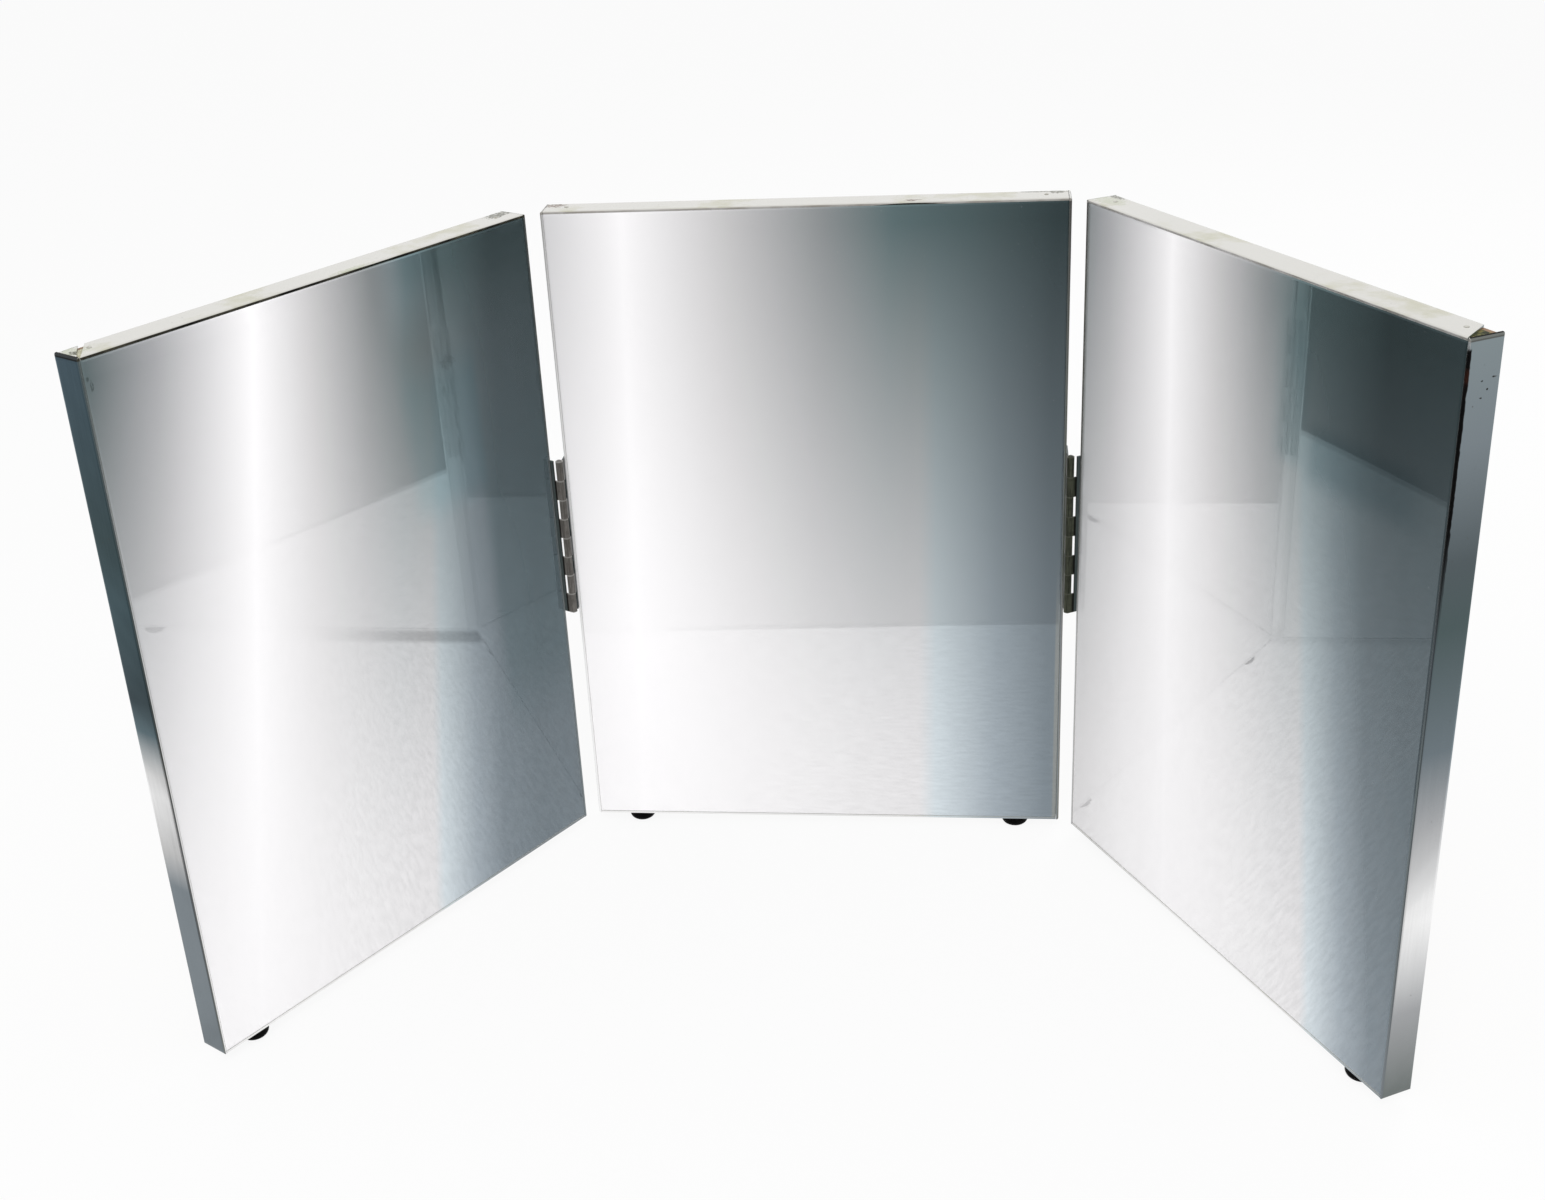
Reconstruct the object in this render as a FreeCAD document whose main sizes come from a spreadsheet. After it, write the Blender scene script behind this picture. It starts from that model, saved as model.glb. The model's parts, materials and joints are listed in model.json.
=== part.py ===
import FreeCAD, Part
import Sketcher
import collections
import math
import os
import re

# Trifold vanity mirror: three mirror panels edged with polished metal strip,
# joined by two short piano hinges and standing on four rubber feet.
# Units are mm and degrees. +Z is up and the mirrors face -Y.
# The origin is on the table, at the middle of the box round the open mirror.

SIZES = {
    # panels
    "panel_width": 304.8,        # one panel over its edge strips, 12 in
    "panel_height": 406.4,       # one panel over its edge strips, 16 in
    "glass_thickness": 3.0,
    "tape_thickness": 0.8,
    "core_thickness": 12.0,
    "back_thickness": 2.5,
    "strip_thickness": 1.6,
    "strip_rounding": 0.5,
    "strip_corner": 1.2,         # cut off the outer corners at a side strip's ends
    "strip_gap": 0.2,            # between the end of one strip and the face of the next
    "glass_gap": 0.6,            # open joint between the glass and the strips
    "glass_corner": 1.5,         # dubbed corner of the glass
    "bevel_width": 1.0,
    "bevel_depth": 0.25,
    "tape_width": 25.0,
    "tape_margin": 30.0,         # from the glass edge to the end of a tape
    "clip_front": 0.5,           # how far a top strip's end is cut back at the front
    "clip_back": 2.5,            # and at the back
    "outer_clip_front": 2.0,     # the same at the free end of a wing
    "outer_clip_back": 13.0,
    # wings, as they stand open
    "left_angle": 59.0,          # forward from flat
    "right_angle": 60.9,
    # hinges
    "knuckle_pitch": 12.7,
    "knuckle_gap": 0.25,
    "leaf_thickness": 1.02,
    "leaf_reach": 19.05,         # from the pin's axis to the leaf's back edge
    "leaf_relief": 3.3,          # from the pin's axis to the floor of a knuckle notch
    "axis_forward": 5.0,         # of the panels' front face
    "hinge_pin_diameter": 2.36,
    "pin_clearance": 0.04,       # radial, pin in knuckle
    "pin_head_diameter": 3.4,
    "pin_head_height": 0.5,
    # fasteners
    "drill_clearance": 0.05,     # radial, fastener in its hole
    "drill_run_out": 1.0,        # past the surface that a hole is cut from
    "leaf_screw_diameter": 2.8,
    "leaf_screw_head": 5.0,
    "leaf_screw_length": 16.0,
    "leaf_screw_depth": 13.0,    # from the pin's axis to the screws' line
    "leaf_screw_inset": 12.7,    # from the hinge's end to its first screw
    "foot_screw_diameter": 3.2,
    "foot_screw_head": 6.2,
    "foot_screw_head_height": 2.0,
    "foot_screw_length": 18.0,
    "trim_pin_diameter": 1.3,
    "trim_pin_head": 2.6,
    "trim_pin_head_height": 0.4,
    "trim_pin_length": 9.0,
    "trim_pin_inset": 14.0,      # from the strip's end to its first pin
    "tack_diameter": 1.4,
    "tack_head": 4.0,
    "tack_head_height": 0.5,
    "tack_length": 10.0,
    "tack_inset": 12.0,          # from the panel's edge to the tack
    "slot_width": 0.8,
    "slot_depth": 0.6,
    # feet
    "foot_height": 7.5,
    "foot_diameter": 17.0,
    "foot_rounding": 4.0,        # of the edge above the flat that rests on the table
    "foot_recess": 7.0,          # diameter of the pocket that hides the screw head
    "foot_recess_depth": 3.6,
    "foot_inset": 28.0,          # from the panel's end to the foot's middle
}

# counts
KNUCKLE_COUNT = 8                # in one hinge, shared in turn by its two leaves
LEAF_SCREW_COUNT = 3
TAPE_COUNT = 3
TRIM_PIN_COUNT = 2               # in a top or bottom strip
SIDE_TACK_COUNT = 4              # in a column of back tacks at the side
MIDDLE_TACK_COUNT = 2            # in the middle column

# proportions
HEAD_FLAT = 0.5                  # share of a domed head's width that is flat on top
HEAD_RIM = 0.35                  # share of its height that stands straight at the rim
SCREW_POINT = 2                  # length of a screw's point, in diameters
TOUCHING = 1e-4                  # mm within which an edge lies on a side of a box

doc = FreeCAD.newDocument("TrifoldMirror")
sheet = doc.addObject("Spreadsheet::Sheet", "sizes")
for row, (alias, number) in enumerate(SIZES.items(), start=1):
    sheet.set(f"A{row}", alias)
    sheet.set(f"B{row}", str(number))
    sheet.setAlias(f"B{row}", alias)
doc.recompute()

ALIAS = re.compile(r"\b(" + "|".join(SIZES) + r")\b")

# ---------------------------------------------------------------- formulas
# Every length below is a formula of the sheet's aliases.

PANEL_DEPTH = "(glass_thickness + tape_thickness + core_thickness + back_thickness)"
HALF_WIDTH = "(panel_width / 2)"
PANEL_BOTTOM = "foot_height"
PANEL_TOP = "(foot_height + panel_height)"
CORE_HALF = "(panel_width / 2 - strip_thickness)"
CORE_BOTTOM = "(foot_height + strip_thickness)"
CORE_HEIGHT = "(panel_height - 2 * strip_thickness)"
GLASS_HALF = f"({CORE_HALF} - glass_gap)"
GLASS_BOTTOM = f"({CORE_BOTTOM} + glass_gap)"
GLASS_HEIGHT = f"({CORE_HEIGHT} - 2 * glass_gap)"
CORE_FRONT = "(glass_thickness + tape_thickness)"
CORE_BACK = f"({CORE_FRONT} + core_thickness)"
CORE_MIDDLE = f"({CORE_FRONT} + core_thickness / 2)"
BORE_RADIUS = "(hinge_pin_diameter / 2 + pin_clearance)"
BARREL_RADIUS = f"({BORE_RADIUS} + leaf_thickness)"
HINGE_LENGTH = f"({KNUCKLE_COUNT} * knuckle_pitch)"
HINGE_BOTTOM = f"(foot_height + panel_height / 2 - {HINGE_LENGTH} / 2)"
AXIS_X = f"({HALF_WIDTH} + {BARREL_RADIUS})"
WING_FAR = f"({BARREL_RADIUS} + panel_width)"
WING_MIDDLE = f"({BARREL_RADIUS} + {HALF_WIDTH})"
WING_BACK = f"(axis_forward + {PANEL_DEPTH})"

# the box round the open mirror, seen from above, sets where the origin lies
SHIFT_X = (f"(({WING_FAR} * (cos(left_angle) - cos(right_angle))"
           f" + {WING_BACK} * (sin(left_angle) - sin(right_angle))) / 2)")
FRONT_Y = (f"(axis_forward + {WING_FAR} * sin(max(left_angle; right_angle))"
           f" - axis_forward * cos(max(left_angle; right_angle)))")
SHIFT_Y = f"(({FRONT_Y} - {PANEL_DEPTH} - tack_head_height) / 2)"

# each panel has a frame of its own: x along it from its middle, y back from its
# front face, z up from the table. These put that frame in the model.
LEFT_X = (f"({SHIFT_X} - {AXIS_X} - {WING_MIDDLE} * cos(left_angle)"
          f" - axis_forward * sin(left_angle))")
LEFT_Y = (f"({SHIFT_Y} - axis_forward - {WING_MIDDLE} * sin(left_angle)"
          f" + axis_forward * cos(left_angle))")
RIGHT_X = (f"({SHIFT_X} + {AXIS_X} + {WING_MIDDLE} * cos(right_angle)"
           f" + axis_forward * sin(right_angle))")
RIGHT_Y = (f"({SHIFT_Y} - axis_forward - {WING_MIDDLE} * sin(right_angle)"
           f" + axis_forward * cos(right_angle))")
PANELS = {
    "centre": (SHIFT_X, SHIFT_Y, "0"),
    "left_wing": (LEFT_X, LEFT_Y, "left_angle"),
    "right_wing": (RIGHT_X, RIGHT_Y, "-right_angle"),
}

nodes = []


# ---------------------------------------------------------------- helpers
def bind(thing, target, formula):
    """Ties a property or a constraint to a formula of the sheet's aliases."""
    thing.setExpression(target, ALIAS.sub(r"<<sizes>>.\1", str(formula)))


def place(thing, panel, x="0", y="0", z="0"):
    """Puts a piece at (x, y, z) of a panel's frame."""
    panel_x, panel_y, turn = PANELS[panel]
    bind(thing, "Placement.Base.x", f"{panel_x} + ({x}) * cos({turn}) - ({y}) * sin({turn})")
    bind(thing, "Placement.Base.y", f"{panel_y} + ({x}) * sin({turn}) + ({y}) * cos({turn})")
    bind(thing, "Placement.Base.z", z)
    bind(thing, "Placement.Rotation.Angle", turn)


def node(thing, label, solids=1):
    """Keeps a piece as a node of the model, under its own label."""
    thing.Label = label
    nodes.append((thing, solids))
    return thing


def new_body(name):
    return doc.addObject("PartDesign::Body", name)


def new_sketch(body, role, offset="0"):
    """A sketch on one of the body's origin planes, moved along its normal."""
    plane = next(item for item in body.Origin.OriginFeatures if item.Role == role)
    sketch = body.newObject("Sketcher::SketchObject", body.Name + "_sketch")
    sketch.AttachmentSupport = [(plane, "")]
    sketch.MapMode = "FlatFace"
    bind(sketch, "AttachmentOffset.Base.z", offset)
    return sketch


def pin_down(sketch, element, vertex, x, y):
    """Holds one point of a sketch at formulas x and y from the sketch's origin."""
    along = sketch.addConstraint(Sketcher.Constraint("DistanceX", -1, 1, element, vertex, 1.0))
    bind(sketch, f"Constraints[{along}]", x)
    across = sketch.addConstraint(Sketcher.Constraint("DistanceY", -1, 1, element, vertex, 1.0))
    bind(sketch, f"Constraints[{across}]", y)


def add_outline(sketch, corners):
    """Draws a closed straight-sided outline through corners, pairs of formulas."""
    count = len(corners)
    start = [FreeCAD.Vector(math.cos(math.tau * k / count), math.sin(math.tau * k / count), 0)
             for k in range(count)]
    first = sketch.GeometryCount
    for k in range(count):
        sketch.addGeometry(Part.LineSegment(start[k], start[(k + 1) % count]))
    for k in range(count):
        sketch.addConstraint(Sketcher.Constraint("Coincident", first + k, 2, first + (k + 1) % count, 1))
        pin_down(sketch, first + k, 1, *corners[k])


def add_circle(sketch, x, y, radius):
    """Draws a circle of a formula's radius about the point (x, y)."""
    circle = sketch.addGeometry(Part.Circle(FreeCAD.Vector(0, 0, 0), FreeCAD.Vector(0, 0, 1), 1.0))
    limit = sketch.addConstraint(Sketcher.Constraint("Radius", circle, 1.0))
    bind(sketch, f"Constraints[{limit}]", radius)
    pin_down(sketch, circle, 3, x, y)


def rectangle(left, right, low, high):
    return [(left, low), (right, low), (right, high), (left, high)]


def pad(body, sketch, length, reversed_way=False):
    feature = body.newObject("PartDesign::Pad", body.Name + "_pad")
    feature.Profile = sketch
    feature.Reversed = reversed_way
    bind(feature, "Length", length)
    return feature


def pocket(body, sketch, length, reversed_way=False):
    feature = body.newObject("PartDesign::Pocket", body.Name + "_pocket")
    feature.Profile = sketch
    feature.Reversed = reversed_way
    bind(feature, "Length", length)
    return feature


def revolve(body, corners):
    """Turns an outline of (radius, height) corners about the body's own Z axis."""
    sketch = new_sketch(body, "XZ_Plane")
    add_outline(sketch, corners)
    feature = body.newObject("PartDesign::Revolution", body.Name + "_turned")
    feature.Profile = sketch
    feature.ReferenceAxis = (sketch, ["V_Axis"])
    feature.Angle = 360
    return feature


def repeat(body, features, role, length, count):
    """Repeats features evenly over a length along one of the body's origin axes."""
    axis = next(item for item in body.Origin.OriginFeatures if item.Role == role)
    pattern = body.newObject("PartDesign::LinearPattern", body.Name + "_row")
    pattern.Originals = features
    pattern.Direction = (axis, [""])
    pattern.Occurrences = count
    bind(pattern, "Length", length)
    body.Tip = pattern
    return pattern


def edges_on(shape, **sides):
    """Names the edges that lie wholly on the given sides of the shape's box."""
    box = shape.BoundBox
    names = []
    for number, edge in enumerate(shape.Edges, start=1):
        lies_there = all(
            abs(getattr(corner, axis) - getattr(box, axis + side)) < TOUCHING
            for corner in edge.Vertexes for axis, side in sides.items())
        if lies_there:
            names.append(f"Edge{number}")
    return names


def round_edges(body, feature, names, radius):
    fillet = body.newObject("PartDesign::Fillet", body.Name + "_rounded")
    fillet.Base = (feature, names)
    bind(fillet, "Radius", radius)
    return fillet


def group(name, members):
    compound = doc.addObject("Part::Compound", name)
    compound.Links = members
    return compound


def drilled(blank, tools, name):
    """Cuts the holes of several fastener rows out of a blank."""
    cut = doc.addObject("Part::Cut", name)
    cut.Base = blank
    cut.Tool = group(name + "_drills", tools)
    return cut


# ---------------------------------------------------------------- fasteners
# A kind of fastener: the outlines of the solid and of its hole, each turned about
# the shank's axis with the surface that it is driven into at height 0, and for a
# slotted head the height of its face and its diameter.
Kind = collections.namedtuple("Kind", "solid hole slot", defaults=(None,))


def hole_below(shank, point, length):
    """The lower part of a hole: the wall, the start of its point and the tip."""
    wide = f"({shank} + drill_clearance)"
    return wide, [(wide, f"{point} - {length}"), ("0", f"-{length} - drill_clearance * 2")]


def nail(diameter, head, head_height, length):
    """A nail with a low domed head."""
    shank = f"({diameter} / 2)"
    solid = [("0", head_height), (f"{HEAD_FLAT} * {head} / 2", head_height),
             (f"{head} / 2", f"{HEAD_RIM} * {head_height}"), (f"{head} / 2", "0"), (shank, "0"),
             (shank, f"{diameter} - {length}"), ("0", f"-{length}")]
    wide, bottom = hole_below(shank, diameter, length)
    return Kind(solid, [("0", "drill_run_out"), (wide, "drill_run_out")] + bottom)


def countersunk_screw(diameter, head, length):
    """A slotted flat-headed screw, flush with the surface."""
    shank = f"({diameter} / 2)"
    point = f"{SCREW_POINT} * {diameter}"
    under_head = f"({diameter} - {head}) / 2"
    solid = [("0", "0"), (f"{head} / 2", "0"), (shank, under_head),
             (shank, f"{point} - {length}"), ("0", f"-{length}")]
    wide, bottom = hole_below(shank, point, length)
    sink = f"({head} / 2 + drill_clearance)"
    hole = [("0", "drill_run_out"), (sink, "drill_run_out"), (sink, "0"), (wide, under_head)]
    return Kind(solid, hole + bottom, ("0", head))


def pan_screw(diameter, head, head_height, length):
    """A slotted screw with a raised, domed head."""
    shank = f"({diameter} / 2)"
    point = f"{SCREW_POINT} * {diameter}"
    solid = [("0", head_height), (f"{HEAD_FLAT} * {head} / 2", head_height),
             (f"{head} / 2", f"{HEAD_RIM} * {head_height}"), (f"{head} / 2", "0"), (shank, "0"),
             (shank, f"{point} - {length}"), ("0", f"-{length}")]
    wide, bottom = hole_below(shank, point, length)
    hole = [("0", "drill_run_out"), (wide, "drill_run_out")] + bottom
    return Kind(solid, hole, (head_height, head))


TRIM_PIN = nail("trim_pin_diameter", "trim_pin_head", "trim_pin_head_height", "trim_pin_length")
TACK = nail("tack_diameter", "tack_head", "tack_head_height", "tack_length")
LEAF_SCREW = countersunk_screw("leaf_screw_diameter", "leaf_screw_head", "leaf_screw_length")
FOOT_SCREW = pan_screw("foot_screw_diameter", "foot_screw_head", "foot_screw_head_height",
                       "foot_screw_length")

# which way a fastener's head points: the directions in the panel's frame of the
# row, of the third axis, and of the head
HEADINGS = {
    "top": ((1, 0, 0), (0, 1, 0), (0, 0, 1)),
    "bottom": ((1, 0, 0), (0, -1, 0), (0, 0, -1)),
    "right": ((0, 0, 1), (0, -1, 0), (1, 0, 0)),
    "left": ((0, 0, 1), (0, 1, 0), (-1, 0, 0)),
    "back": ((0, 0, 1), (1, 0, 0), (0, 1, 0)),
}


def fastener_row(name, outline, heading, at, length, count, slot=None):
    """A row of like fasteners, or of their holes, in a panel's frame.

    at is the first one's place, and length is from the first to the last."""
    body = new_body(name)
    body.AllowCompound = True
    features = [revolve(body, outline)]
    if slot:
        face, head = slot
        sketch = new_sketch(body, "XY_Plane", face)
        add_outline(sketch, rectangle(f"-{head}", head, "-slot_width / 2", "slot_width / 2"))
        features.append(pocket(body, sketch, "slot_depth"))
    if count > 1:
        repeat(body, features, "X_Axis", length, count)
    row, third, head = (FreeCAD.Vector(*direction) for direction in HEADINGS[heading])
    body.Placement = FreeCAD.Placement(FreeCAD.Vector(), FreeCAD.Rotation(row, third, head, "XYZ"))
    for axis, formula in zip("xyz", at):
        bind(body, f"Placement.Base.{axis}", formula)
    return body


class Fasteners:
    """Rows of one kind of fastener in one panel, with the holes that take them."""

    def __init__(self, name, kind):
        self.name = name
        self.kind = kind
        self.rows = []
        self.count = 0

    def add(self, heading, at, length="0", count=1):
        self.rows.append((heading, at, length, count))
        self.count += count

    def drills(self, purpose):
        return [fastener_row(f"{self.name}_{purpose}_{number}", self.kind.hole, *row)
                for number, row in enumerate(self.rows)]

    def keep(self, panel):
        solids = [fastener_row(f"{self.name}_{number}", self.kind.solid, *row, self.kind.slot)
                  for number, row in enumerate(self.rows)]
        whole = group(self.name + "_group", solids)
        place(whole, panel)
        return node(whole, self.name, self.count)


# ---------------------------------------------------------------- panels
def make_glass(panel):
    """Glass plate with dubbed corners and a narrow bevel round its face."""
    body = new_body(f"{panel}_glass")
    low = GLASS_BOTTOM
    high = f"({GLASS_BOTTOM} + {GLASS_HEIGHT})"

    def plate(inset):
        side = f"({GLASS_HALF} - {inset})"
        foot = f"({low} + {inset})"
        head = f"({high} - {inset})"
        return [(f"-{side}", f"{foot} + glass_corner"), (f"glass_corner - {side}", foot),
                (f"{side} - glass_corner", foot), (side, f"{foot} + glass_corner"),
                (side, f"{head} - glass_corner"), (f"{side} - glass_corner", head),
                (f"glass_corner - {side}", head), (f"-{side}", f"{head} - glass_corner")]

    rear = new_sketch(body, "XZ_Plane", "-bevel_depth")
    add_outline(rear, plate("0"))
    pad(body, rear, "glass_thickness - bevel_depth", reversed_way=True)
    shoulder = new_sketch(body, "XZ_Plane", "-bevel_depth")
    add_outline(shoulder, plate("0"))
    face = new_sketch(body, "XZ_Plane")
    add_outline(face, plate("bevel_width"))
    bevel = body.newObject("PartDesign::AdditiveLoft", body.Name + "_bevel")
    bevel.Profile = shoulder
    bevel.Sections = [face]
    bevel.Ruled = True
    place(body, panel)
    node(body, f"{panel}_mirror_glass")


def make_tapes(panel):
    """Upright strips of mounting tape between the glass and the core."""
    body = new_body(f"{panel}_tape")
    body.AllowCompound = True
    sketch = new_sketch(body, "XZ_Plane", "-glass_thickness")
    first = f"(tape_margin - {GLASS_HALF})"
    add_outline(sketch, rectangle(first, f"{first} + tape_width",
                                  f"{GLASS_BOTTOM} + tape_margin",
                                  f"{GLASS_BOTTOM} + {GLASS_HEIGHT} - tape_margin"))
    strip = pad(body, sketch, "tape_thickness", reversed_way=True)
    repeat(body, [strip], "X_Axis", f"2 * {GLASS_HALF} - 2 * tape_margin - tape_width", TAPE_COUNT)
    place(body, panel)
    node(body, f"{panel}_mirror_tape", TAPE_COUNT)


def board(name, front, thickness):
    """A flat board as large as the inside of the edge strips."""
    body = new_body(name)
    sketch = new_sketch(body, "XZ_Plane", f"-{front}")
    add_outline(sketch, rectangle(f"-{CORE_HALF}", CORE_HALF, CORE_BOTTOM,
                                  f"{CORE_BOTTOM} + {CORE_HEIGHT}"))
    pad(body, sketch, thickness, reversed_way=True)
    return body


def level_strip(name, low, clips=("0", "0", "0", "0"), outer="Max"):
    """Top or bottom strip. clips cut its ends back: front left and right, back left and right."""
    body = new_body(name)
    sketch = new_sketch(body, "XY_Plane", low)
    half = f"({CORE_HALF} - strip_gap)"
    front_left, front_right, back_left, back_right = clips
    add_outline(sketch, [(f"{front_left} - {half}", "0"), (f"{half} - {front_right}", "0"),
                         (f"{half} - {back_right}", PANEL_DEPTH),
                         (f"{back_left} - {half}", PANEL_DEPTH)])
    bar = pad(body, sketch, "strip_thickness")
    doc.recompute()
    long_edges = edges_on(bar.Shape, Z=outer, Y="Min") + edges_on(bar.Shape, Z=outer, Y="Max")
    round_edges(body, bar, long_edges, "strip_rounding")
    return body


def side_strip(name, side):
    """Side strip, as tall as the panel. side is -1 on the left and 1 on the right."""
    body = new_body(name)
    inner = CORE_HALF if side > 0 else f"-{HALF_WIDTH}"
    sketch = new_sketch(body, "YZ_Plane", inner)
    add_outline(sketch, rectangle("0", PANEL_DEPTH, PANEL_BOTTOM, PANEL_TOP))
    bar = pad(body, sketch, "strip_thickness")
    doc.recompute()
    face = "Max" if side > 0 else "Min"
    corners = body.newObject("PartDesign::Chamfer", body.Name + "_corners")
    corners.Base = (bar, edges_on(bar.Shape, X=face, Z="Min") + edges_on(bar.Shape, X=face, Z="Max"))
    bind(corners, "Size", "strip_corner")
    doc.recompute()
    long_edges = edges_on(corners.Shape, X=face, Y="Min") + edges_on(corners.Shape, X=face, Y="Max")
    round_edges(body, corners, long_edges, "strip_rounding")
    return body


def make_panel(panel, hinge_sides, strip_names, top_clips, foot_places):
    """Makes one panel with its strips, fasteners and feet.

    hinge_sides names the hinge leaf on each side, -1 or 1, that has one, and
    foot_places pairs each foot's name with its place along the panel."""
    inset_x = f"({HALF_WIDTH} - trim_pin_inset)"
    row_top = ("top", (f"-{inset_x}", CORE_MIDDLE, PANEL_TOP), f"2 * {inset_x}", TRIM_PIN_COUNT)
    row_bottom = ("bottom", (f"-{inset_x}", CORE_MIDDLE, PANEL_BOTTOM), f"2 * {inset_x}",
                  TRIM_PIN_COUNT)
    trim_pins = Fasteners(f"{panel}_trim_pins", TRIM_PIN)
    trim_pins.add(*row_top)
    trim_pins.add(*row_bottom)

    tacks = Fasteners(f"{panel}_back_tacks", TACK)
    tack_side = f"({HALF_WIDTH} - tack_inset)"
    tack_low = f"({PANEL_BOTTOM} + tack_inset)"
    tack_span = "(panel_height - 2 * tack_inset)"
    tacks.add("back", (f"-{tack_side}", PANEL_DEPTH, tack_low), tack_span, SIDE_TACK_COUNT)
    tacks.add("back", (tack_side, PANEL_DEPTH, tack_low), tack_span, SIDE_TACK_COUNT)
    tacks.add("back", ("0", PANEL_DEPTH, tack_low), tack_span, MIDDLE_TACK_COUNT)

    foot_screws = Fasteners(f"{panel}_foot_screws", FOOT_SCREW)
    for name, x in foot_places:
        foot_screws.add("bottom", (x, CORE_MIDDLE, "foot_recess_depth"))

    leaf_screws = {}
    for side, hinge in hinge_sides.items():
        screws = Fasteners(hinge + "_screws", LEAF_SCREW)
        heading = "right" if side > 0 else "left"
        face_x = f"{side} * ({HALF_WIDTH} + leaf_thickness)"
        screws.add(heading, (face_x, "leaf_screw_depth - axis_forward",
                             f"{HINGE_BOTTOM} + leaf_screw_inset"),
                   f"{HINGE_LENGTH} - 2 * leaf_screw_inset", LEAF_SCREW_COUNT)
        leaf_screws[side] = screws

    make_glass(panel)
    make_tapes(panel)

    core_tools = trim_pins.drills("core") + tacks.drills("core") + foot_screws.drills("core")
    for screws in leaf_screws.values():
        core_tools += screws.drills("core")
    core = drilled(board(f"{panel}_core", CORE_FRONT, "core_thickness"), core_tools,
                   f"{panel}_core_drilled")
    place(core, panel)
    node(core, f"{panel}_core_board")

    back = drilled(board(f"{panel}_back", CORE_BACK, "back_thickness"), tacks.drills("back"),
                   f"{panel}_back_drilled")
    place(back, panel)
    node(back, f"{panel}_back_board")

    top_drill = fastener_row(f"{panel}_top_drill", TRIM_PIN.hole, *row_top)
    top = drilled(level_strip(f"{panel}_top", f"{PANEL_TOP} - strip_thickness", top_clips),
                  [top_drill], f"{panel}_top_drilled")
    place(top, panel)
    node(top, f"{panel}_top_strip")

    bottom_drill = fastener_row(f"{panel}_bottom_drill", TRIM_PIN.hole, *row_bottom)
    bottom = drilled(level_strip(f"{panel}_bottom", PANEL_BOTTOM, outer="Min"),
                     [bottom_drill] + foot_screws.drills("strip"), f"{panel}_bottom_drilled")
    place(bottom, panel)
    node(bottom, f"{panel}_bottom_strip")

    for side in (-1, 1):
        name = f"{panel}_side_{'left' if side < 0 else 'right'}"
        strip = side_strip(name, side)
        if side in leaf_screws:
            strip = drilled(strip, leaf_screws[side].drills("strip"), name + "_drilled")
        place(strip, panel)
        node(strip, f"{panel}_{strip_names[side]}_strip")

    trim_pins.keep(panel)
    tacks.keep(panel)
    for name, x in foot_places:
        make_foot(name, panel, x)
    foot_screws.keep(panel)
    for side, hinge in hinge_sides.items():
        make_leaf(hinge + "_leaf", panel, side, leaf_screws[side])
        leaf_screws[side].keep(panel)


def make_foot(name, panel, x):
    """Domed rubber foot, with a pocket underneath for its screw's head."""
    body = new_body(name + "_body")
    hole = "(foot_screw_diameter / 2 + drill_clearance)"
    side = "foot_diameter / 2"
    blank = revolve(body, [
        (hole, "foot_height"), (side, "foot_height"), (side, "0"), ("foot_recess / 2", "0"),
        ("foot_recess / 2", "foot_recess_depth"), (hole, "foot_recess_depth")])
    doc.recompute()
    rim = [f"Edge{number}" for number, edge in enumerate(blank.Shape.Edges, start=1)
           if edge.BoundBox.ZMax < TOUCHING
           and abs(edge.BoundBox.XMax - blank.Shape.BoundBox.XMax) < TOUCHING]
    round_edges(body, blank, rim, "foot_rounding")
    place(body, panel, x, CORE_MIDDLE, "0")
    node(body, name)


# ---------------------------------------------------------------- hinges
def make_leaf(name, panel, side, screws):
    """A hinge leaf on a panel's edge: a plate, a barrel, and notches for the other leaf.

    The wings' leaves have the lowest knuckle and the centre panel's the highest."""
    body = new_body(name + "_body")
    inner = f"{-side} * {BORE_RADIUS}"
    outer = f"{-side} * {BARREL_RADIUS}"
    left, right = (outer, inner) if side > 0 else (inner, outer)
    plate_sketch = new_sketch(body, "XY_Plane")
    add_outline(plate_sketch, rectangle(left, right, "0", "leaf_reach"))
    pad(body, plate_sketch, HINGE_LENGTH)
    barrel_sketch = new_sketch(body, "XY_Plane")
    add_circle(barrel_sketch, "0", "0", BARREL_RADIUS)
    pad(body, barrel_sketch, HINGE_LENGTH)
    bore_sketch = new_sketch(body, "XY_Plane")
    add_circle(bore_sketch, "0", "0", BORE_RADIUS)
    pocket(body, bore_sketch, HINGE_LENGTH, reversed_way=True)
    first_notch = 0 if panel == "centre" else 1
    notch_sketch = new_sketch(body, "XY_Plane", f"{first_notch} * knuckle_pitch - knuckle_gap / 2")
    wide = f"(2 * {BARREL_RADIUS})"
    add_outline(notch_sketch, rectangle(f"-{wide}", wide, f"-{wide}", "leaf_relief"))
    notch = pocket(body, notch_sketch, "knuckle_pitch + knuckle_gap", reversed_way=True)
    notches = KNUCKLE_COUNT // 2
    repeat(body, [notch], "Z_Axis", f"{2 * (notches - 1)} * knuckle_pitch", notches)
    bind(body, "Placement.Base.x", f"{side} * {AXIS_X}")
    bind(body, "Placement.Base.y", "-axis_forward")
    bind(body, "Placement.Base.z", HINGE_BOTTOM)
    leaf = drilled(body, screws.drills("leaf"), name + "_drilled")
    place(leaf, panel)
    node(leaf, name)


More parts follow.
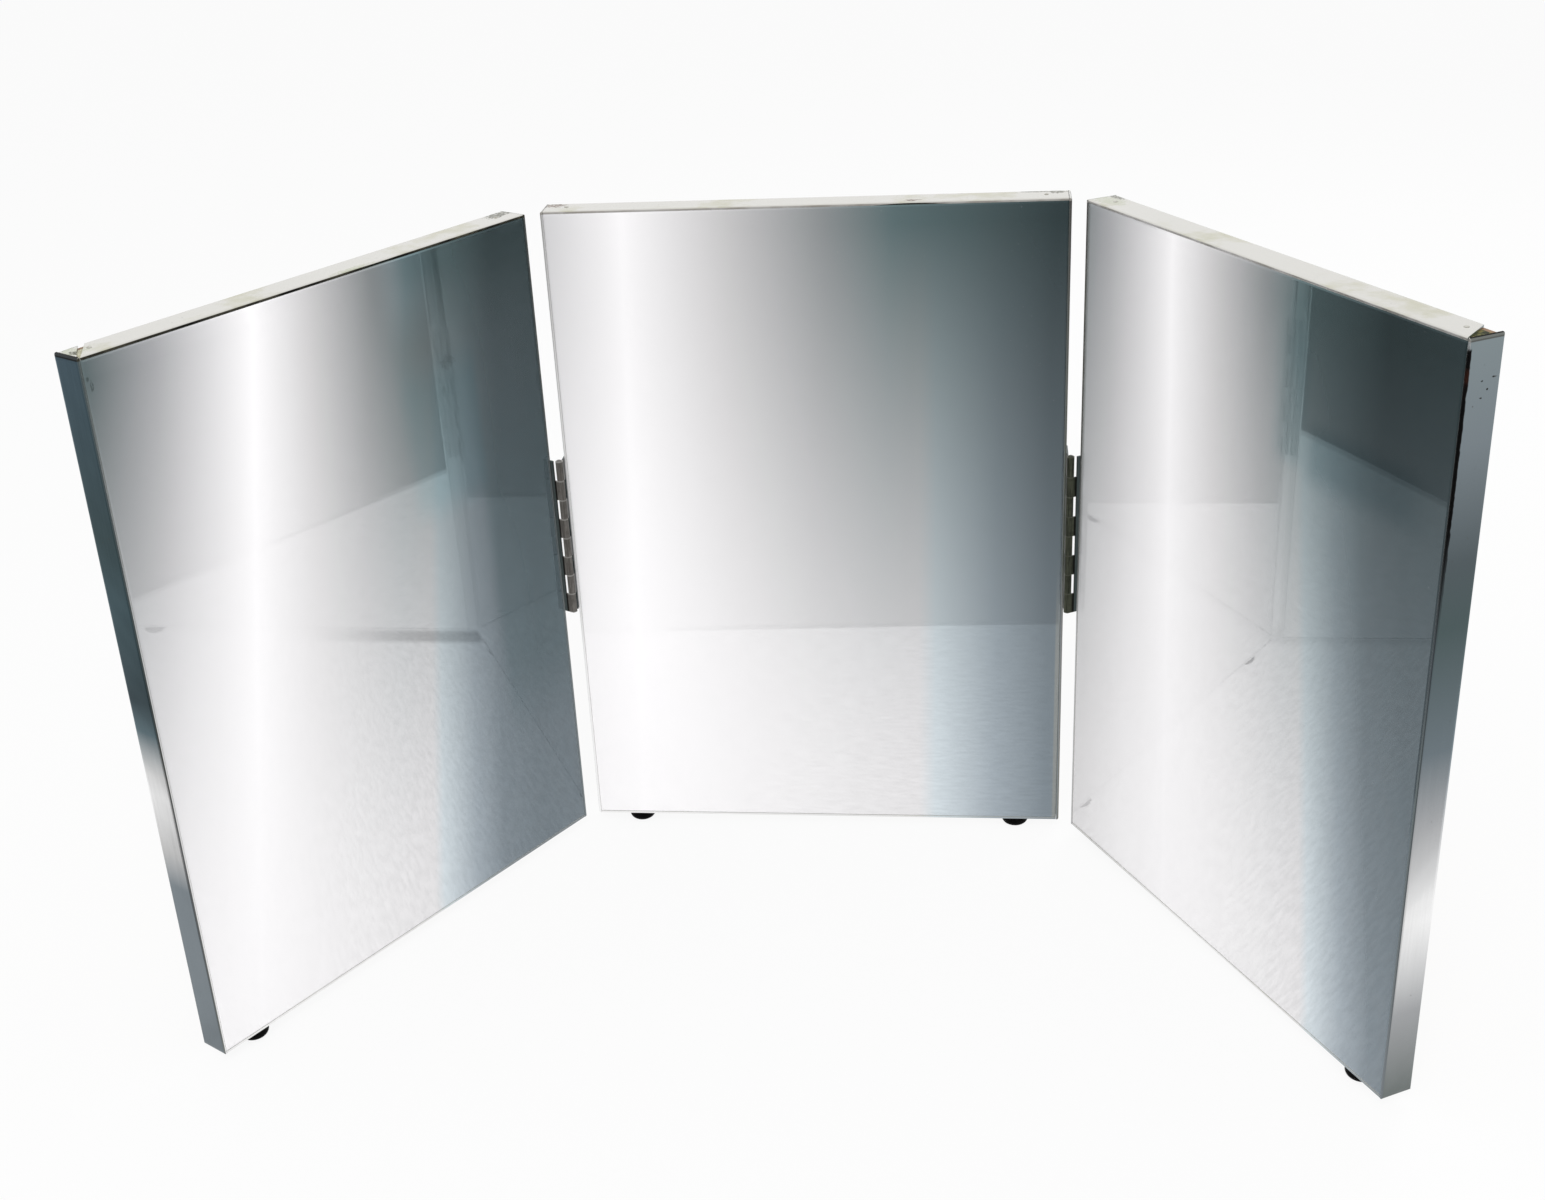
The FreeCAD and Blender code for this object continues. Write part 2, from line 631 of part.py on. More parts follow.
def make_hinge_pin(name, side):
    """Hinge pin, peened to a small head at both ends."""
    body = new_body(name + "_body")
    shank = "(hinge_pin_diameter / 2)"
    head = "(pin_head_diameter / 2)"
    tall = f"({HINGE_LENGTH} + knuckle_gap / 2)"
    short = "(-knuckle_gap / 2)"
    pin = revolve(body, [
        ("0", f"{short} - pin_head_height"), (shank, f"{short} - pin_head_height"),
        (head, f"{short} - {HEAD_RIM} * pin_head_height"), (head, short), (shank, short),
        (shank, tall), (head, tall), (head, f"{tall} + {HEAD_RIM} * pin_head_height"),
        (shank, f"{tall} + pin_head_height"), ("0", f"{tall} + pin_head_height")])
    body.Tip = pin
    place(body, "centre", f"{side} * {AXIS_X}", "-axis_forward", HINGE_BOTTOM)
    node(body, name)


# ---------------------------------------------------------------- the mirror
FOOT_X = f"({HALF_WIDTH} - foot_inset)"
PLAIN = ("clip_front", "clip_front", "clip_back", "clip_back")
FREE_LEFT = ("outer_clip_front", "clip_front", "outer_clip_back", "clip_back")
FREE_RIGHT = ("clip_front", "outer_clip_front", "clip_back", "outer_clip_back")

make_panel("centre", {-1: "left_hinge_centre", 1: "right_hinge_centre"},
           {-1: "left", 1: "right"}, PLAIN,
           [("centre_left_foot", f"-{FOOT_X}"), ("centre_right_foot", FOOT_X)])
make_panel("left_wing", {1: "left_hinge_wing"}, {-1: "outer", 1: "hinge"}, FREE_LEFT,
           [("left_wing_foot", f"-{FOOT_X}")])
make_panel("right_wing", {-1: "right_hinge_wing"}, {-1: "hinge", 1: "outer"}, FREE_RIGHT,
           [("right_wing_foot", FOOT_X)])
make_hinge_pin("left_hinge_pin", -1)
make_hinge_pin("right_hinge_pin", 1)
doc.recompute()

# ---------------------------------------------------------------- checks and files
for item in doc.Objects:
    if "Invalid" in item.State or "Error" in item.State:
        raise RuntimeError(f"{item.Label} did not build: {item.State}")
for thing, solids in nodes:
    shape = thing.Shape
    if shape.isNull() or not shape.isValid() or len(shape.Solids) != solids:
        raise RuntimeError(f"{thing.Label} is not {solids} sound solids")

os.makedirs("parts", exist_ok=True)
for thing, solids in nodes:
    thing.Shape.exportStep(f"parts/{thing.Label}.step")
print(f"{len(nodes)} nodes written")
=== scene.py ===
import json
import math

import bmesh
import bpy
import numpy as np
from mathutils import Matrix, Vector

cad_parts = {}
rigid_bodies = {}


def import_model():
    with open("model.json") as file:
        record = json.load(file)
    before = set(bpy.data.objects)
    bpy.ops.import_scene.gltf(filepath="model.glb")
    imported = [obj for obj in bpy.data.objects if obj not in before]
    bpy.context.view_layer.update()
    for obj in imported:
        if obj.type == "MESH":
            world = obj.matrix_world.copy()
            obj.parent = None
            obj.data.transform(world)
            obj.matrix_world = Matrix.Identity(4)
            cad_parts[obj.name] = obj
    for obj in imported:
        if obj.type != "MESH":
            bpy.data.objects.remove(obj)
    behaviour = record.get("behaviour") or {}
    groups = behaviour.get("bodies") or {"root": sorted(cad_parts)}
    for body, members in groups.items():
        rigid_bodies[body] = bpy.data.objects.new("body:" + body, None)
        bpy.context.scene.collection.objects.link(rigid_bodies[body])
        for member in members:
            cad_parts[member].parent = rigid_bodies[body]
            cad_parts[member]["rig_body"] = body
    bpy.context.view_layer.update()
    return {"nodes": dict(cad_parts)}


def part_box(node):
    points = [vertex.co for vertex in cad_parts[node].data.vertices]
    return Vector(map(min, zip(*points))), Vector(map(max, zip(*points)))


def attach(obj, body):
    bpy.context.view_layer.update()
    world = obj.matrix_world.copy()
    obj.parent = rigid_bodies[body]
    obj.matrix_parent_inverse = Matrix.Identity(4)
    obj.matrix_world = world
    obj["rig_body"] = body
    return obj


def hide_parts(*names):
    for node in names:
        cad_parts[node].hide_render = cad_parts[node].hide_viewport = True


# Trifold vanity mirror: the looks of its silvered glass, chromed edging, hinges, boards and feet.
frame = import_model()

# -------- sizes, in mm
MM = 0.001
PANEL_WIDTH, PANEL_HEIGHT, PANEL_DEPTH = 304.8, 406.4, 18.3
PANEL_BOTTOM = 7.5
PANEL_TOP = PANEL_BOTTOM + PANEL_HEIGHT
EDGING = 1.6                     # thickness of the edging
EDGING_GAP = 0.2                 # from the end of one length to the face of the next
INSIDE = PANEL_WIDTH / 2 - EDGING      # from a panel's middle to the inner face of its side edging
AXIS_OUT, AXIS_FORWARD = 154.64, 5.0   # a hinge's axis, from the panel's middle and its face
LEFT_ANGLE, RIGHT_ANGLE = 59.0, 60.9
KNUCKLE = 12.7
HINGE_LENGTH = 101.6
HINGE_BOTTOM = PANEL_BOTTOM + (PANEL_HEIGHT - HINGE_LENGTH) / 2


def panel_frames():
    """Each panel's frame: x along it from its middle, y back from its face, z up from the table."""
    low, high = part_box("centre_mirror_glass")
    centre = Matrix.Translation(((low.x + high.x) / 2, low.y, 0))
    out, forward = AXIS_OUT * MM, AXIS_FORWARD * MM
    frames = {"centre": centre}
    for panel, side, angle in (("left_wing", -1, LEFT_ANGLE), ("right_wing", 1, RIGHT_ANGLE)):
        frames[panel] = (centre @ Matrix.Translation((side * out, -forward, 0))
                         @ Matrix.Rotation(math.radians(-side * angle), 4, "Z")
                         @ Matrix.Translation((side * out, forward, 0)))
    return frames


PANELS = panel_frames()


# -------- node helpers
def fill(tree, inputs, values):
    """Gives inputs, by number or name, their plain values or sockets."""
    for key, value in values.items():
        if isinstance(value, bpy.types.NodeSocket):
            tree.links.new(value, inputs[key])
        else:
            inputs[key].default_value = value


def add(tree, kind, values=None, **settings):
    """Adds a shader node with its settings and the values of its inputs."""
    node = tree.nodes.new("ShaderNode" + kind)
    for name, setting in settings.items():
        setattr(node, name, setting)
    fill(tree, node.inputs, values or {})
    return node


def tree_of(*values):
    """The node tree of the first socket among values."""
    return next(value.id_data for value in values if isinstance(value, bpy.types.NodeSocket))


def maths(operation, *values, clamp=False):
    """Result of one operation on values, at least one of them a socket."""
    return add(tree_of(*values), "Math", dict(enumerate(values)), operation=operation,
               use_clamp=clamp).outputs[0]


def product(first, *others):
    """The first mask or value times all the others."""
    for other in others:
        first = maths("MULTIPLY", first, other)
    return first


def as_colour(value):
    """A colour with its alpha, from a grey or from red, green and blue. A socket stays as it is."""
    if isinstance(value, bpy.types.NodeSocket):
        return value
    return (value, value, value, 1.0) if isinstance(value, float) else (*value, 1.0)


def mixed(amount, first, second, how="MIX"):
    """Two colours mixed, each a grey, three numbers or a socket."""
    values = {0: amount, 6: as_colour(first), 7: as_colour(second)}
    return add(tree_of(*values.values()), "Mix", values, data_type="RGBA", blend_type=how,
               clamp_factor=True).outputs[2]


def between(value, low, high, out_low=0.0, out_high=1.0, smooth=True):
    """Carries a value from low..high over to out_low..out_high, held at both ends."""
    node = add(value.id_data, "MapRange", {0: value, 1: low, 2: high, 3: out_low, 4: out_high},
               interpolation_type="SMOOTHSTEP" if smooth else "LINEAR")
    return node.outputs[0]


def reaching(value, limits):
    """Mask that rises between the first two limits and falls between the last two."""
    rise_from, rise_to, fall_from, fall_to = limits
    return product(between(value, rise_from, rise_to), between(value, fall_to, fall_from))


def ramp(value, stops):
    """A colour ramp through stops, pairs of a place and a colour or a grey."""
    node = add(value.id_data, "ValToRGB", {0: value})
    elements = node.color_ramp.elements
    while len(elements) < len(stops):
        elements.new(0.5)
    for element, (place, colour) in zip(elements, stops):
        element.position = place
        element.color = as_colour(colour)
    return node.outputs[0]


def noise(place, scale, detail=3.0, roughness=0.5, stretch=(1.0, 1.0, 1.0)):
    """Noise of a scale given per metre, stretched by scaling its axes."""
    moved = add(place.id_data, "Mapping", {0: place, 3: stretch}).outputs[0]
    return add(place.id_data, "TexNoise", {"Vector": moved, "Scale": scale, "Detail": detail,
                                           "Roughness": roughness}).outputs[0]


def spot(place, middle, half):
    """Mask of a small stain, broken up by noise, from its middle and its half sizes. It runs through
    along an axis whose half size is 0."""
    scale = tuple(1 / size if size else 0.0 for size in half)
    moved = tuple(-at * by for at, by in zip(middle, scale))
    offset = add(place.id_data, "Mapping", {0: place, 1: moved, 3: scale}).outputs[0]
    away = add(place.id_data, "VectorMath", {0: offset}, operation="LENGTH").outputs["Value"]
    ragged = between(noise(place, 420.0, 4.0, 0.6), 0.3, 0.7, -0.45, 0.45, smooth=False)
    return product(between(maths("ADD", away, ragged), 1.0, 0.72),
                   between(noise(place, 900.0, 3.0), 0.36, 0.5, 0.25, 1.0))


def new_group(name, inputs, outputs):
    """A node group with inputs (name, kind, default) and outputs (name, kind)."""
    group = bpy.data.node_groups.new(name, "ShaderNodeTree")
    for label, kind, default in inputs:
        socket = group.interface.new_socket(label, in_out="INPUT", socket_type="NodeSocket" + kind)
        if default is not None:
            socket.default_value = default
    for label, kind in outputs:
        group.interface.new_socket(label, in_out="OUTPUT", socket_type="NodeSocket" + kind)
    return group, group.nodes.new("NodeGroupInput").outputs, group.nodes.new("NodeGroupOutput").inputs


def use(tree, group, **values):
    """Places a group in a material. Underscores in the names of its inputs stand for blanks."""
    node = add(tree, "Group", {name.replace("_", " "): value for name, value in values.items()},
               node_tree=group)
    return node.outputs


def new_material(name):
    """A material with its tree and its Principled BSDF."""
    material = bpy.data.materials.new(name)
    material.use_nodes = True
    return material, material.node_tree, material.node_tree.nodes["Principled BSDF"].inputs


def object_place(tree):
    """Place of the surface in the part's frame."""
    return add(tree, "TexCoord").outputs["Object"]


def panel_place(tree, panel):
    """Place and direction of the surface in a panel's frame."""
    inverse = PANELS[panel].inverted()
    turn = inverse.to_euler()
    coordinates = add(tree, "TexCoord").outputs
    place = add(tree, "Mapping", {0: coordinates["Object"], 1: inverse.translation, 2: turn}).outputs[0]
    facing = add(tree, "Mapping", {0: coordinates["Normal"], 2: turn}, vector_type="VECTOR").outputs[0]
    return place, facing


def camera_ray(tree):
    """1 for what the camera sees itself, 0 for what light or a mirror sees."""
    return add(tree, "LightPath").outputs["Is Camera Ray"]


def split(vector):
    """The three axes of a vector, each as a socket."""
    return add(vector.id_data, "SeparateXYZ", {0: vector}).outputs


def bump(height, strength, distance):
    """Direction of a surface that a height roughens, over a distance in metres."""
    values = {"Height": height, "Strength": strength, "Distance": distance}
    return add(height.id_data, "Bump", values).outputs[0]


# -------- shared effects
# painted reflections, bands of light and dark painted into the mirrors' colour: heights at which they
# lie at their bottom and their top places, in metres
BANDS_FROM, BANDS_TO = 0.019, 0.402
# at the top: 0 is two reaches left of the white line, 0.4 the white line, 0.6 where the dusk begins
HIGH_BANDS = ((0.16, (0.108, 0.15, 0.155)), (0.26, (0.42, 0.43, 0.44)), (0.38, 0.9), (0.4, 1.0),
              (0.42, 0.92), (0.5, 0.62), (0.59, (0.305, 0.333, 0.338)), (0.65, (0.132, 0.199, 0.207)),
              (0.8, (0.037, 0.06, 0.064)))
# at the bottom: 0.333 is the white line, 0.667 the blue line
LOW_BANDS = ((0.1, 0.76), (0.22, 0.93), (0.333, 1.0), (0.39, 0.98), (0.52, 0.9), (0.65, 0.81),
             (0.668, (0.68, 0.76, 0.79)), (0.735, (0.37, 0.43, 0.47)), (0.79, (0.22, 0.265, 0.295)),
             (0.87, (0.175, 0.215, 0.24)))
# painted sheen: how far the camera sees the silver turn from mirror to matt, lit by the lamps, over
# the same places as the bands at the top, highest on the painted white line
PAINTED_SHEEN = ((0.0, 0.6), (0.22, 0.75), (0.34, 0.85), (0.4, 0.97), (0.46, 0.8), (0.58, 0.45), (0.67, 0.3))


def make_painted_reflection_bands():
    """Painted reflections: bands of light and dark painted down a panel. t is 0 on the white line and
    1 on the blue line, and both lines lean from their place at the bottom to their place at the top.
    At the bottom the colour is a ramp of t. At the top it is a ramp of the distance from the white
    line, in dusk reaches."""
    group, given, result = new_group(
        "painted_reflection_bands",
        [("Place", "Vector", None), ("White Top", "Float", 0.0), ("White Bottom", "Float", 0.0),
         ("Blue Top", "Float", 0.0), ("Blue Bottom", "Float", 0.0), ("Dusk Reach", "Float", 1.0)],
        [("Color", "Color"), ("Painted_Sheen", "Float")])
    x, _, z = split(given["Place"])
    rise = between(z, BANDS_FROM, BANDS_TO, smooth=False)
    white = between(rise, 0.0, 1.0, given["White Bottom"], given["White Top"], smooth=False)
    blue = between(rise, 0.0, 1.0, given["Blue Bottom"], given["Blue Top"], smooth=False)
    from_white = maths("SUBTRACT", x, white)
    low_t = maths("DIVIDE", from_white, maths("SUBTRACT", blue, white))
    high_t = maths("DIVIDE", from_white, given["Dusk Reach"])
    low = ramp(between(low_t, -1.0, 2.0, smooth=False), LOW_BANDS)
    high_place = between(high_t, -2.0, 3.0, smooth=False)
    high = ramp(high_place, HIGH_BANDS)
    fill(group, result, {"Color": mixed(maths("POWER", rise, 1.4), low, high),
                         "Painted_Sheen": ramp(high_place, PAINTED_SHEEN)})
    return group


def make_handling():
    """What handling leaves on a smooth hard surface: dust specks and wiped smudges, each from noise,
    as a mask and together as a height."""
    group, given, result = new_group(
        "handling", [("Place", "Vector", None), ("Smudges", "Float", 0.5), ("Specks", "Float", 0.5)],
        [("Film", "Float"), ("Specks", "Float"), ("Height", "Float")])
    place = given["Place"]
    wide = between(noise(place, 14.0, 4.0, 0.55), 0.48, 0.72)
    wiped = between(noise(place, 60.0, 5.0, 0.6, (1.0, 1.0, 0.15)), 0.45, 0.75)
    film = maths("MULTIPLY", product(wide, wiped), given["Smudges"], clamp=True)
    dots = add(group, "TexVoronoi", {"Vector": place, "Scale": 210.0}, feature="F1")
    sparse = between(noise(place, 45.0, 2.0), 0.5, 0.62)
    specks = product(between(dots.outputs["Distance"], 0.1, 0.045), sparse)
    specks = maths("MULTIPLY", specks, given["Specks"], clamp=True)
    fill(group, result, {"Film": film, "Specks": specks,
                         "Height": maths("ADD", specks, product(film, 0.2))})
    return group


def make_drawn_metal():
    """Fine lines left along metal by rolling and polishing: noise drawn out along one axis, given
    as a stretch, with a slower waviness under it."""
    group, given, result = new_group(
        "drawn_metal", [("Place", "Vector", None), ("Stretch", "Vector", (1.0, 1.0, 1.0))],
        [("Lines", "Float"), ("Waves", "Float")])
    drawn = add(group, "VectorMath", {0: given["Place"], 1: given["Stretch"]}, operation="MULTIPLY")
    fill(group, result, {"Lines": noise(drawn.outputs[0], 900.0, 4.0, 0.6),
                         "Waves": noise(given["Place"], 35.0, 2.0, 0.4)})
    return group


painted_reflection_bands = make_painted_reflection_bands()
handling = make_handling()
drawn_metal = make_drawn_metal()

# where the painted reflection bands lie on each panel, in metres: the white line and the blue line,
# at the top and the bottom, and how far right of the white line the dusk at the top begins
BAND_LINES = {
    "centre": (-0.105, -0.12, 0.076, 0.072, 0.125),
    "left_wing": (-0.05, -0.123, 0.078, 0.021, 0.085),
    "right_wing": (-0.068, -0.048, 0.04, 0.09, 0.085),
}


def panel_painted_reflections(tree, panel, place):
    """The painted reflection bands as they lie on a panel."""
    white_top, white_bottom, blue_top, blue_bottom, dusk_reach = BAND_LINES[panel]
    return use(tree, painted_reflection_bands, Place=place, White_Top=white_top, White_Bottom=white_bottom,
               Blue_Top=blue_top, Blue_Bottom=blue_bottom, Dusk_Reach=dusk_reach)


# -------- mirror glass
# places here and in the other materials are in metres, in the panel's frame
SILVER = 0.95
# painted shade: how the centre's mirror is painted darker from its lower part to its top: the two heights
# and the tone there
PAINTED_CENTRE_DIMMING = (0.12, 0.4, 1.0, 0.89)
# painted reflections: where the dusk painted in the glass is deeper or lighter than the bands have it:
# across and up, each where it begins, is full, begins to end and is gone, and the tone that it is
# multiplied by
PAINTED_DUSK_SHADES = {
    "left_wing": (((0.09, 0.102, 0.3, 0.4), (0.08, 0.15, 0.26, 0.37), (0.76, 0.83, 0.83)),
                  ((0.035, 0.052, 0.095, 0.102), (0.25, 0.275, 0.33, 0.36), (0.84, 0.965, 0.99)),
                  ((0.03, 0.05, 0.065, 0.08), (0.355, 0.4, 0.5, 0.6), (1.38, 1.35, 1.38))),
    "right_wing": (((0.045, 0.06, 0.115, 0.15), (0.308, 0.326, 0.336, 0.352), (0.66, 0.75, 0.775)),
                   ((0.02, 0.036, 0.042, 0.054), (0.315, 0.328, 0.375, 0.41), (0.78, 0.87, 0.89))),
}
# painted tone along a rim of the glass, painted shade on the right wing and painted light on the
# centre: where it begins and is full across, the same up, and its tone
PAINTED_RIM_TONES = {"centre": ((0.1476, 0.1486), (0.2, 0.12), (0.29, 0.3, 0.285)),
              "right_wing": ((-0.147, -0.1505), (0.16, 0.22), (0.09, 0.1, 0.09))}
# dark spots on the silvering: middle and half sizes, each across and up, and how dark
GLASS_STAINS = {"left_wing": (((-0.1489, 0.4026), (0.0011, 0.0013), 0.7),
                              ((-0.1474, 0.3985), (0.0009, 0.003), 0.7),
                              ((0.0785, 0.346), (0.0055, 0.005), 0.25))}


def mirror_tone(panel, place, bands, marks):
    """What the camera sees in a panel's silver: the painted reflection bands with their painted shades, and
    its own specks and stains.
    """
    x, _, z = split(place)
    tone = mixed(1.0, bands["Color"], (1.0, 0.988, 1.0), "MULTIPLY")
    if panel == "centre":
        tone = mixed(1.0, tone, between(z, *PAINTED_CENTRE_DIMMING), "MULTIPLY")
    for across_limits, up_limits, shade in PAINTED_DUSK_SHADES.get(panel, ()):
        reach = product(reaching(x, across_limits), reaching(z, up_limits))
        tone = mixed(reach, tone, shade, "MULTIPLY")
    tone = mixed(product(marks["Specks"], 0.25), tone, 0.6)
    if panel in PAINTED_RIM_TONES:
        across_limits, up_limits, shade = PAINTED_RIM_TONES[panel]
        near = product(between(x, *across_limits), between(z, *up_limits), 0.75)
        tone = mixed(near, tone, shade)
    for (across, up), (half_across, half_up), dark in GLASS_STAINS.get(panel, ()):
        stain = spot(place, (across, 0.0, up), (half_across, 0.0, half_up))
        tone = mixed(product(stain, dark), tone, (0.05, 0.07, 0.07))
    return tone


def mirror_material(panel):
    """Silvered glass with green ground edges and grey backing paint. The camera sees reflections painted
    into the silver as soft bands and sheen, tied to the panel. What comes by way of another mirror
    meets clear silver."""
    material, tree, shader = new_material(f"{panel}_silvering")
    place, facing = panel_place(tree, panel)
    facing_back = split(facing)[1]
    front = between(facing_back, -0.6, -0.9)
    back = between(facing_back, 0.6, 0.9)
    camera = camera_ray(tree)
    marks = use(tree, handling, Place=place, Smudges=0.55, Specks=0.5)
    bands = panel_painted_reflections(tree, panel, place)
    # painted reflections: the camera sees the painted bands and shades in the silver, other rays plain
    # silver
    silver = mixed(camera, SILVER, mirror_tone(panel, place, bands, marks))
    edge = mixed(noise(place, 400.0), (0.1, 0.13, 0.12), (0.19, 0.23, 0.21))
    paint = mixed(noise(place, 90.0), 0.16, 0.24)
    # painted sheen: where the sheen ramp is high, the camera sees the silver matt and the painted bands lit
    clear = maths("SUBTRACT", 1.0, product(bands["Painted_Sheen"], camera))
    polish = between(marks["Film"], 0.0, 1.0, 0.015, 0.07, smooth=False)
    unpolished = product(maths("SUBTRACT", 1.0, front), 0.45)
    fill(tree, shader, {"Base Color": mixed(front, mixed(back, edge, paint), silver),
                        "Metallic": product(front, clear),
                        "Roughness": maths("ADD", product(front, polish), unpolished)})
    return material


# -------- edging
# painted light: the plain tones that the metal and rubber are given where they are seen in the
# mirrors, paler than their own colours
PAINTED_TONES_IN_GLASS = {"edging": 0.92, "edging_top": 0.55, "hinge": 0.85, "rubber": 0.3}
# painted reflections: what the side faces of the edging mirror, painted into their colour from the
# bottom to the top
PAINTED_SIDE_REFLECTIONS = {
    "centre": ((0.0, (0.2, 0.23, 0.25)), (0.5, 0.62), (1.0, (0.1, 0.11, 0.12))),
    "left_wing": ((0.0, (0.155, 0.185, 0.205)), (0.265, (0.19, 0.225, 0.25)), (0.32, 0.58), (0.405, 1.0),
                  (0.437, 0.85), (0.5, (0.13, 0.2, 0.23)), (0.545, (0.042, 0.075, 0.09)),
                  (0.68, (0.09, 0.158, 0.185)), (0.77, (0.082, 0.14, 0.155)), (1.0, (0.13, 0.21, 0.265))),
    "right_wing": ((0.0, (0.15, 0.17, 0.165)), (0.13, (0.37, 0.38, 0.39)), (0.265, 1.0), (0.29, 1.0),
                   (0.39, (0.64, 0.65, 0.665)), (0.5, (0.245, 0.3, 0.335)), (0.66, (0.125, 0.175, 0.18)),
                   (0.74, (0.145, 0.18, 0.195)), (0.88, (0.32, 0.375, 0.41)), (1.0, (0.37, 0.44, 0.465))),
}
# painted reflections and shade: tones of the front lips of the left and right edging from the bottom
# to the top, and where across they begin
PAINTED_LIP_TONES = {
    "centre": (((0.0, 0.97), (0.72, 0.8), (0.93, 0.58), (1.0, 0.5)),
               ((0.0, (0.23, 0.235, 0.22)), (0.35, 0.25), (0.45, (0.1, 0.11, 0.09)),
                (0.72, (0.17, 0.18, 0.165)), (1.0, (0.1, 0.095, 0.09))),
               0.1511),
    "left_wing": (((0.0, (0.19, 0.2, 0.19)), (0.35, (0.16, 0.165, 0.17)), (0.47, (0.08, 0.085, 0.08)),
                   (0.6, (0.09, 0.11, 0.11)), (1.0, (0.12, 0.155, 0.165))),
                  ((0.0, (0.2, 0.225, 0.23)), (0.35, (0.17, 0.18, 0.18)), (0.47, (0.1, 0.13, 0.13)),
                   (0.6, (0.05, 0.055, 0.055)), (0.72, (0.1, 0.11, 0.105)), (1.0, (0.1, 0.095, 0.095))),
                  0.1514),
    "right_wing": (((0.0, 0.44), (0.35, 0.44), (0.45, (0.14, 0.15, 0.14)), (0.6, (0.035, 0.04, 0.036)),
                    (0.72, (0.055, 0.05, 0.036)), (0.85, (0.085, 0.08, 0.065)), (1.0, (0.1, 0.09, 0.09))),
                   ((0.0, (0.18, 0.2, 0.215)), (0.45, (0.125, 0.15, 0.155)), (0.6, (0.075, 0.09, 0.1)),
                    (0.78, (0.05, 0.06, 0.065)), (0.982, (0.04, 0.045, 0.045)),
                    (0.99, (0.5, 0.53, 0.54))),
                   0.1507),
}
# painted shade: the shaded line between a top edging and the glass, its tones from clean to stained,
# and the heights at which it begins and is full
PAINTED_SHADE_UNDER_TOP = {
    "centre": ((0.5, 0.49, 0.47), (0.36, 0.34, 0.31)),
    "left_wing": ((0.016, 0.016, 0.014), (0.085, 0.08, 0.06)),
    "right_wing": ((0.6, 0.59, 0.58), (0.4, 0.39, 0.36)),
}
LINE_HEIGHTS = (0.41205, 0.4121)
# stains on the top edging: tone, middle and half sizes, each along and back
BROWN_STAIN, OLIVE_STAIN, GREEN_STAIN = (0.16, 0.095, 0.055), (0.085, 0.085, 0.045), (0.56, 0.58, 0.46)
TOP_STAINS = {
    "centre": ((BROWN_STAIN, (0.063, 0.004), (0.005, 0.0022)),
               (OLIVE_STAIN, (0.133, 0.0165), (0.011, 0.0016)),
               (OLIVE_STAIN, (0.145, 0.015), (0.005, 0.0034)),
               (BROWN_STAIN, (-0.146, 0.014), (0.008, 0.0045))),
    "left_wing": ((OLIVE_STAIN, (0.144, 0.0135), (0.01, 0.005)),
                  (GREEN_STAIN, (0.021, 0.0016), (0.016, 0.0024)),
                  (GREEN_STAIN, (-0.146, 0.012), (0.009, 0.008)),
                  (OLIVE_STAIN, (-0.1472, 0.0098), (0.0022, 0.004))),
    "right_wing": ((GREEN_STAIN, (-0.143, 0.009), (0.014, 0.0075)),
                   (OLIVE_STAIN, (-0.147, 0.016), (0.008, 0.003))),
}
# the open seam in front of the right wing's free side strip, painted black as its shade: where it
# ends and is full, back and across, how far up it and its rust reach, and how ragged it is
SEAM_BACK, SEAM_ACROSS = (0.002, 0.0015), (0.1509, 0.1512)
SEAM_REACH, RUST_REACH = (0.26, 0.33, 0.408, 0.4095), (0.386, 0.389, 0.399, 0.401)
RAGGED = 0.0012
# chips in the side face of the right wing: middle and half sizes, each back and up
SIDE_CHIPS = (((0.015, 0.3946), (0.0016, 0.0004)), ((0.0086, 0.3935), (0.0007, 0.0004)),
              ((0.012, 0.3894), (0.0005, 0.0005)), ((0.009, 0.3857), (0.0007, 0.0004)))
# the top end of each wing's free side strip: which side it is on, the tone of its folded edge, and
# where the end begins across and up and the fold across
FREE_SIDE = {"left_wing": -1.0, "right_wing": 1.0}
END_TONES = {"left_wing": (0.035, 0.04, 0.042), "right_wing": (0.17, 0.18, 0.17)}
END_ACROSS, END_UP, FOLD_ACROSS = (0.1506, 0.1507), (0.4118, 0.4122), (0.1517, 0.1519)


def up_panel(z):
    """Share of the way up a panel, from its bottom edge to its top."""
    return between(z, PANEL_BOTTOM * MM, PANEL_TOP * MM, smooth=False)


def edging_lip(tree, panel, place, stained):
    """Front lip: the panel's painted reflection bands along the level strips, a run of painted
    reflection and shade tones up each side strip and a painted shaded line, stained in places, under
    the top one."""
    x, _, z = split(place)
    lip = mixed(0.15, panel_painted_reflections(tree, panel, place)["Color"], (0.5, 0.47, 0.43))
    left_tones, right_tones, lip_from = PAINTED_LIP_TONES[panel]
    height = up_panel(z)
    side_lip = mixed(between(x, -0.001, 0.001), ramp(height, left_tones),
                     ramp(height, right_tones))
    on_side = between(maths("ABSOLUTE", x), lip_from, lip_from + 0.0003)
    lip = mixed(on_side, lip, side_lip)
    return mixed(between(z, *LINE_HEIGHTS), lip, mixed(stained, *PAINTED_SHADE_UNDER_TOP[panel]))


def edging_top(panel, place):
    """Upper face: cream, yellower in patches, with its stains."""
    patch = between(noise(place, 28.0, 4.0, 0.6), 0.5, 0.68)
    cream = mixed(patch, (0.7, 0.69, 0.65), (0.58, 0.57, 0.45))
    for tone, (along, back), (half_along, half_back) in TOP_STAINS[panel]:
        stain = spot(place, (along, back, 0.0), (half_along, half_back, 0.0))
        cream = mixed(stain, cream, tone)
    return cream


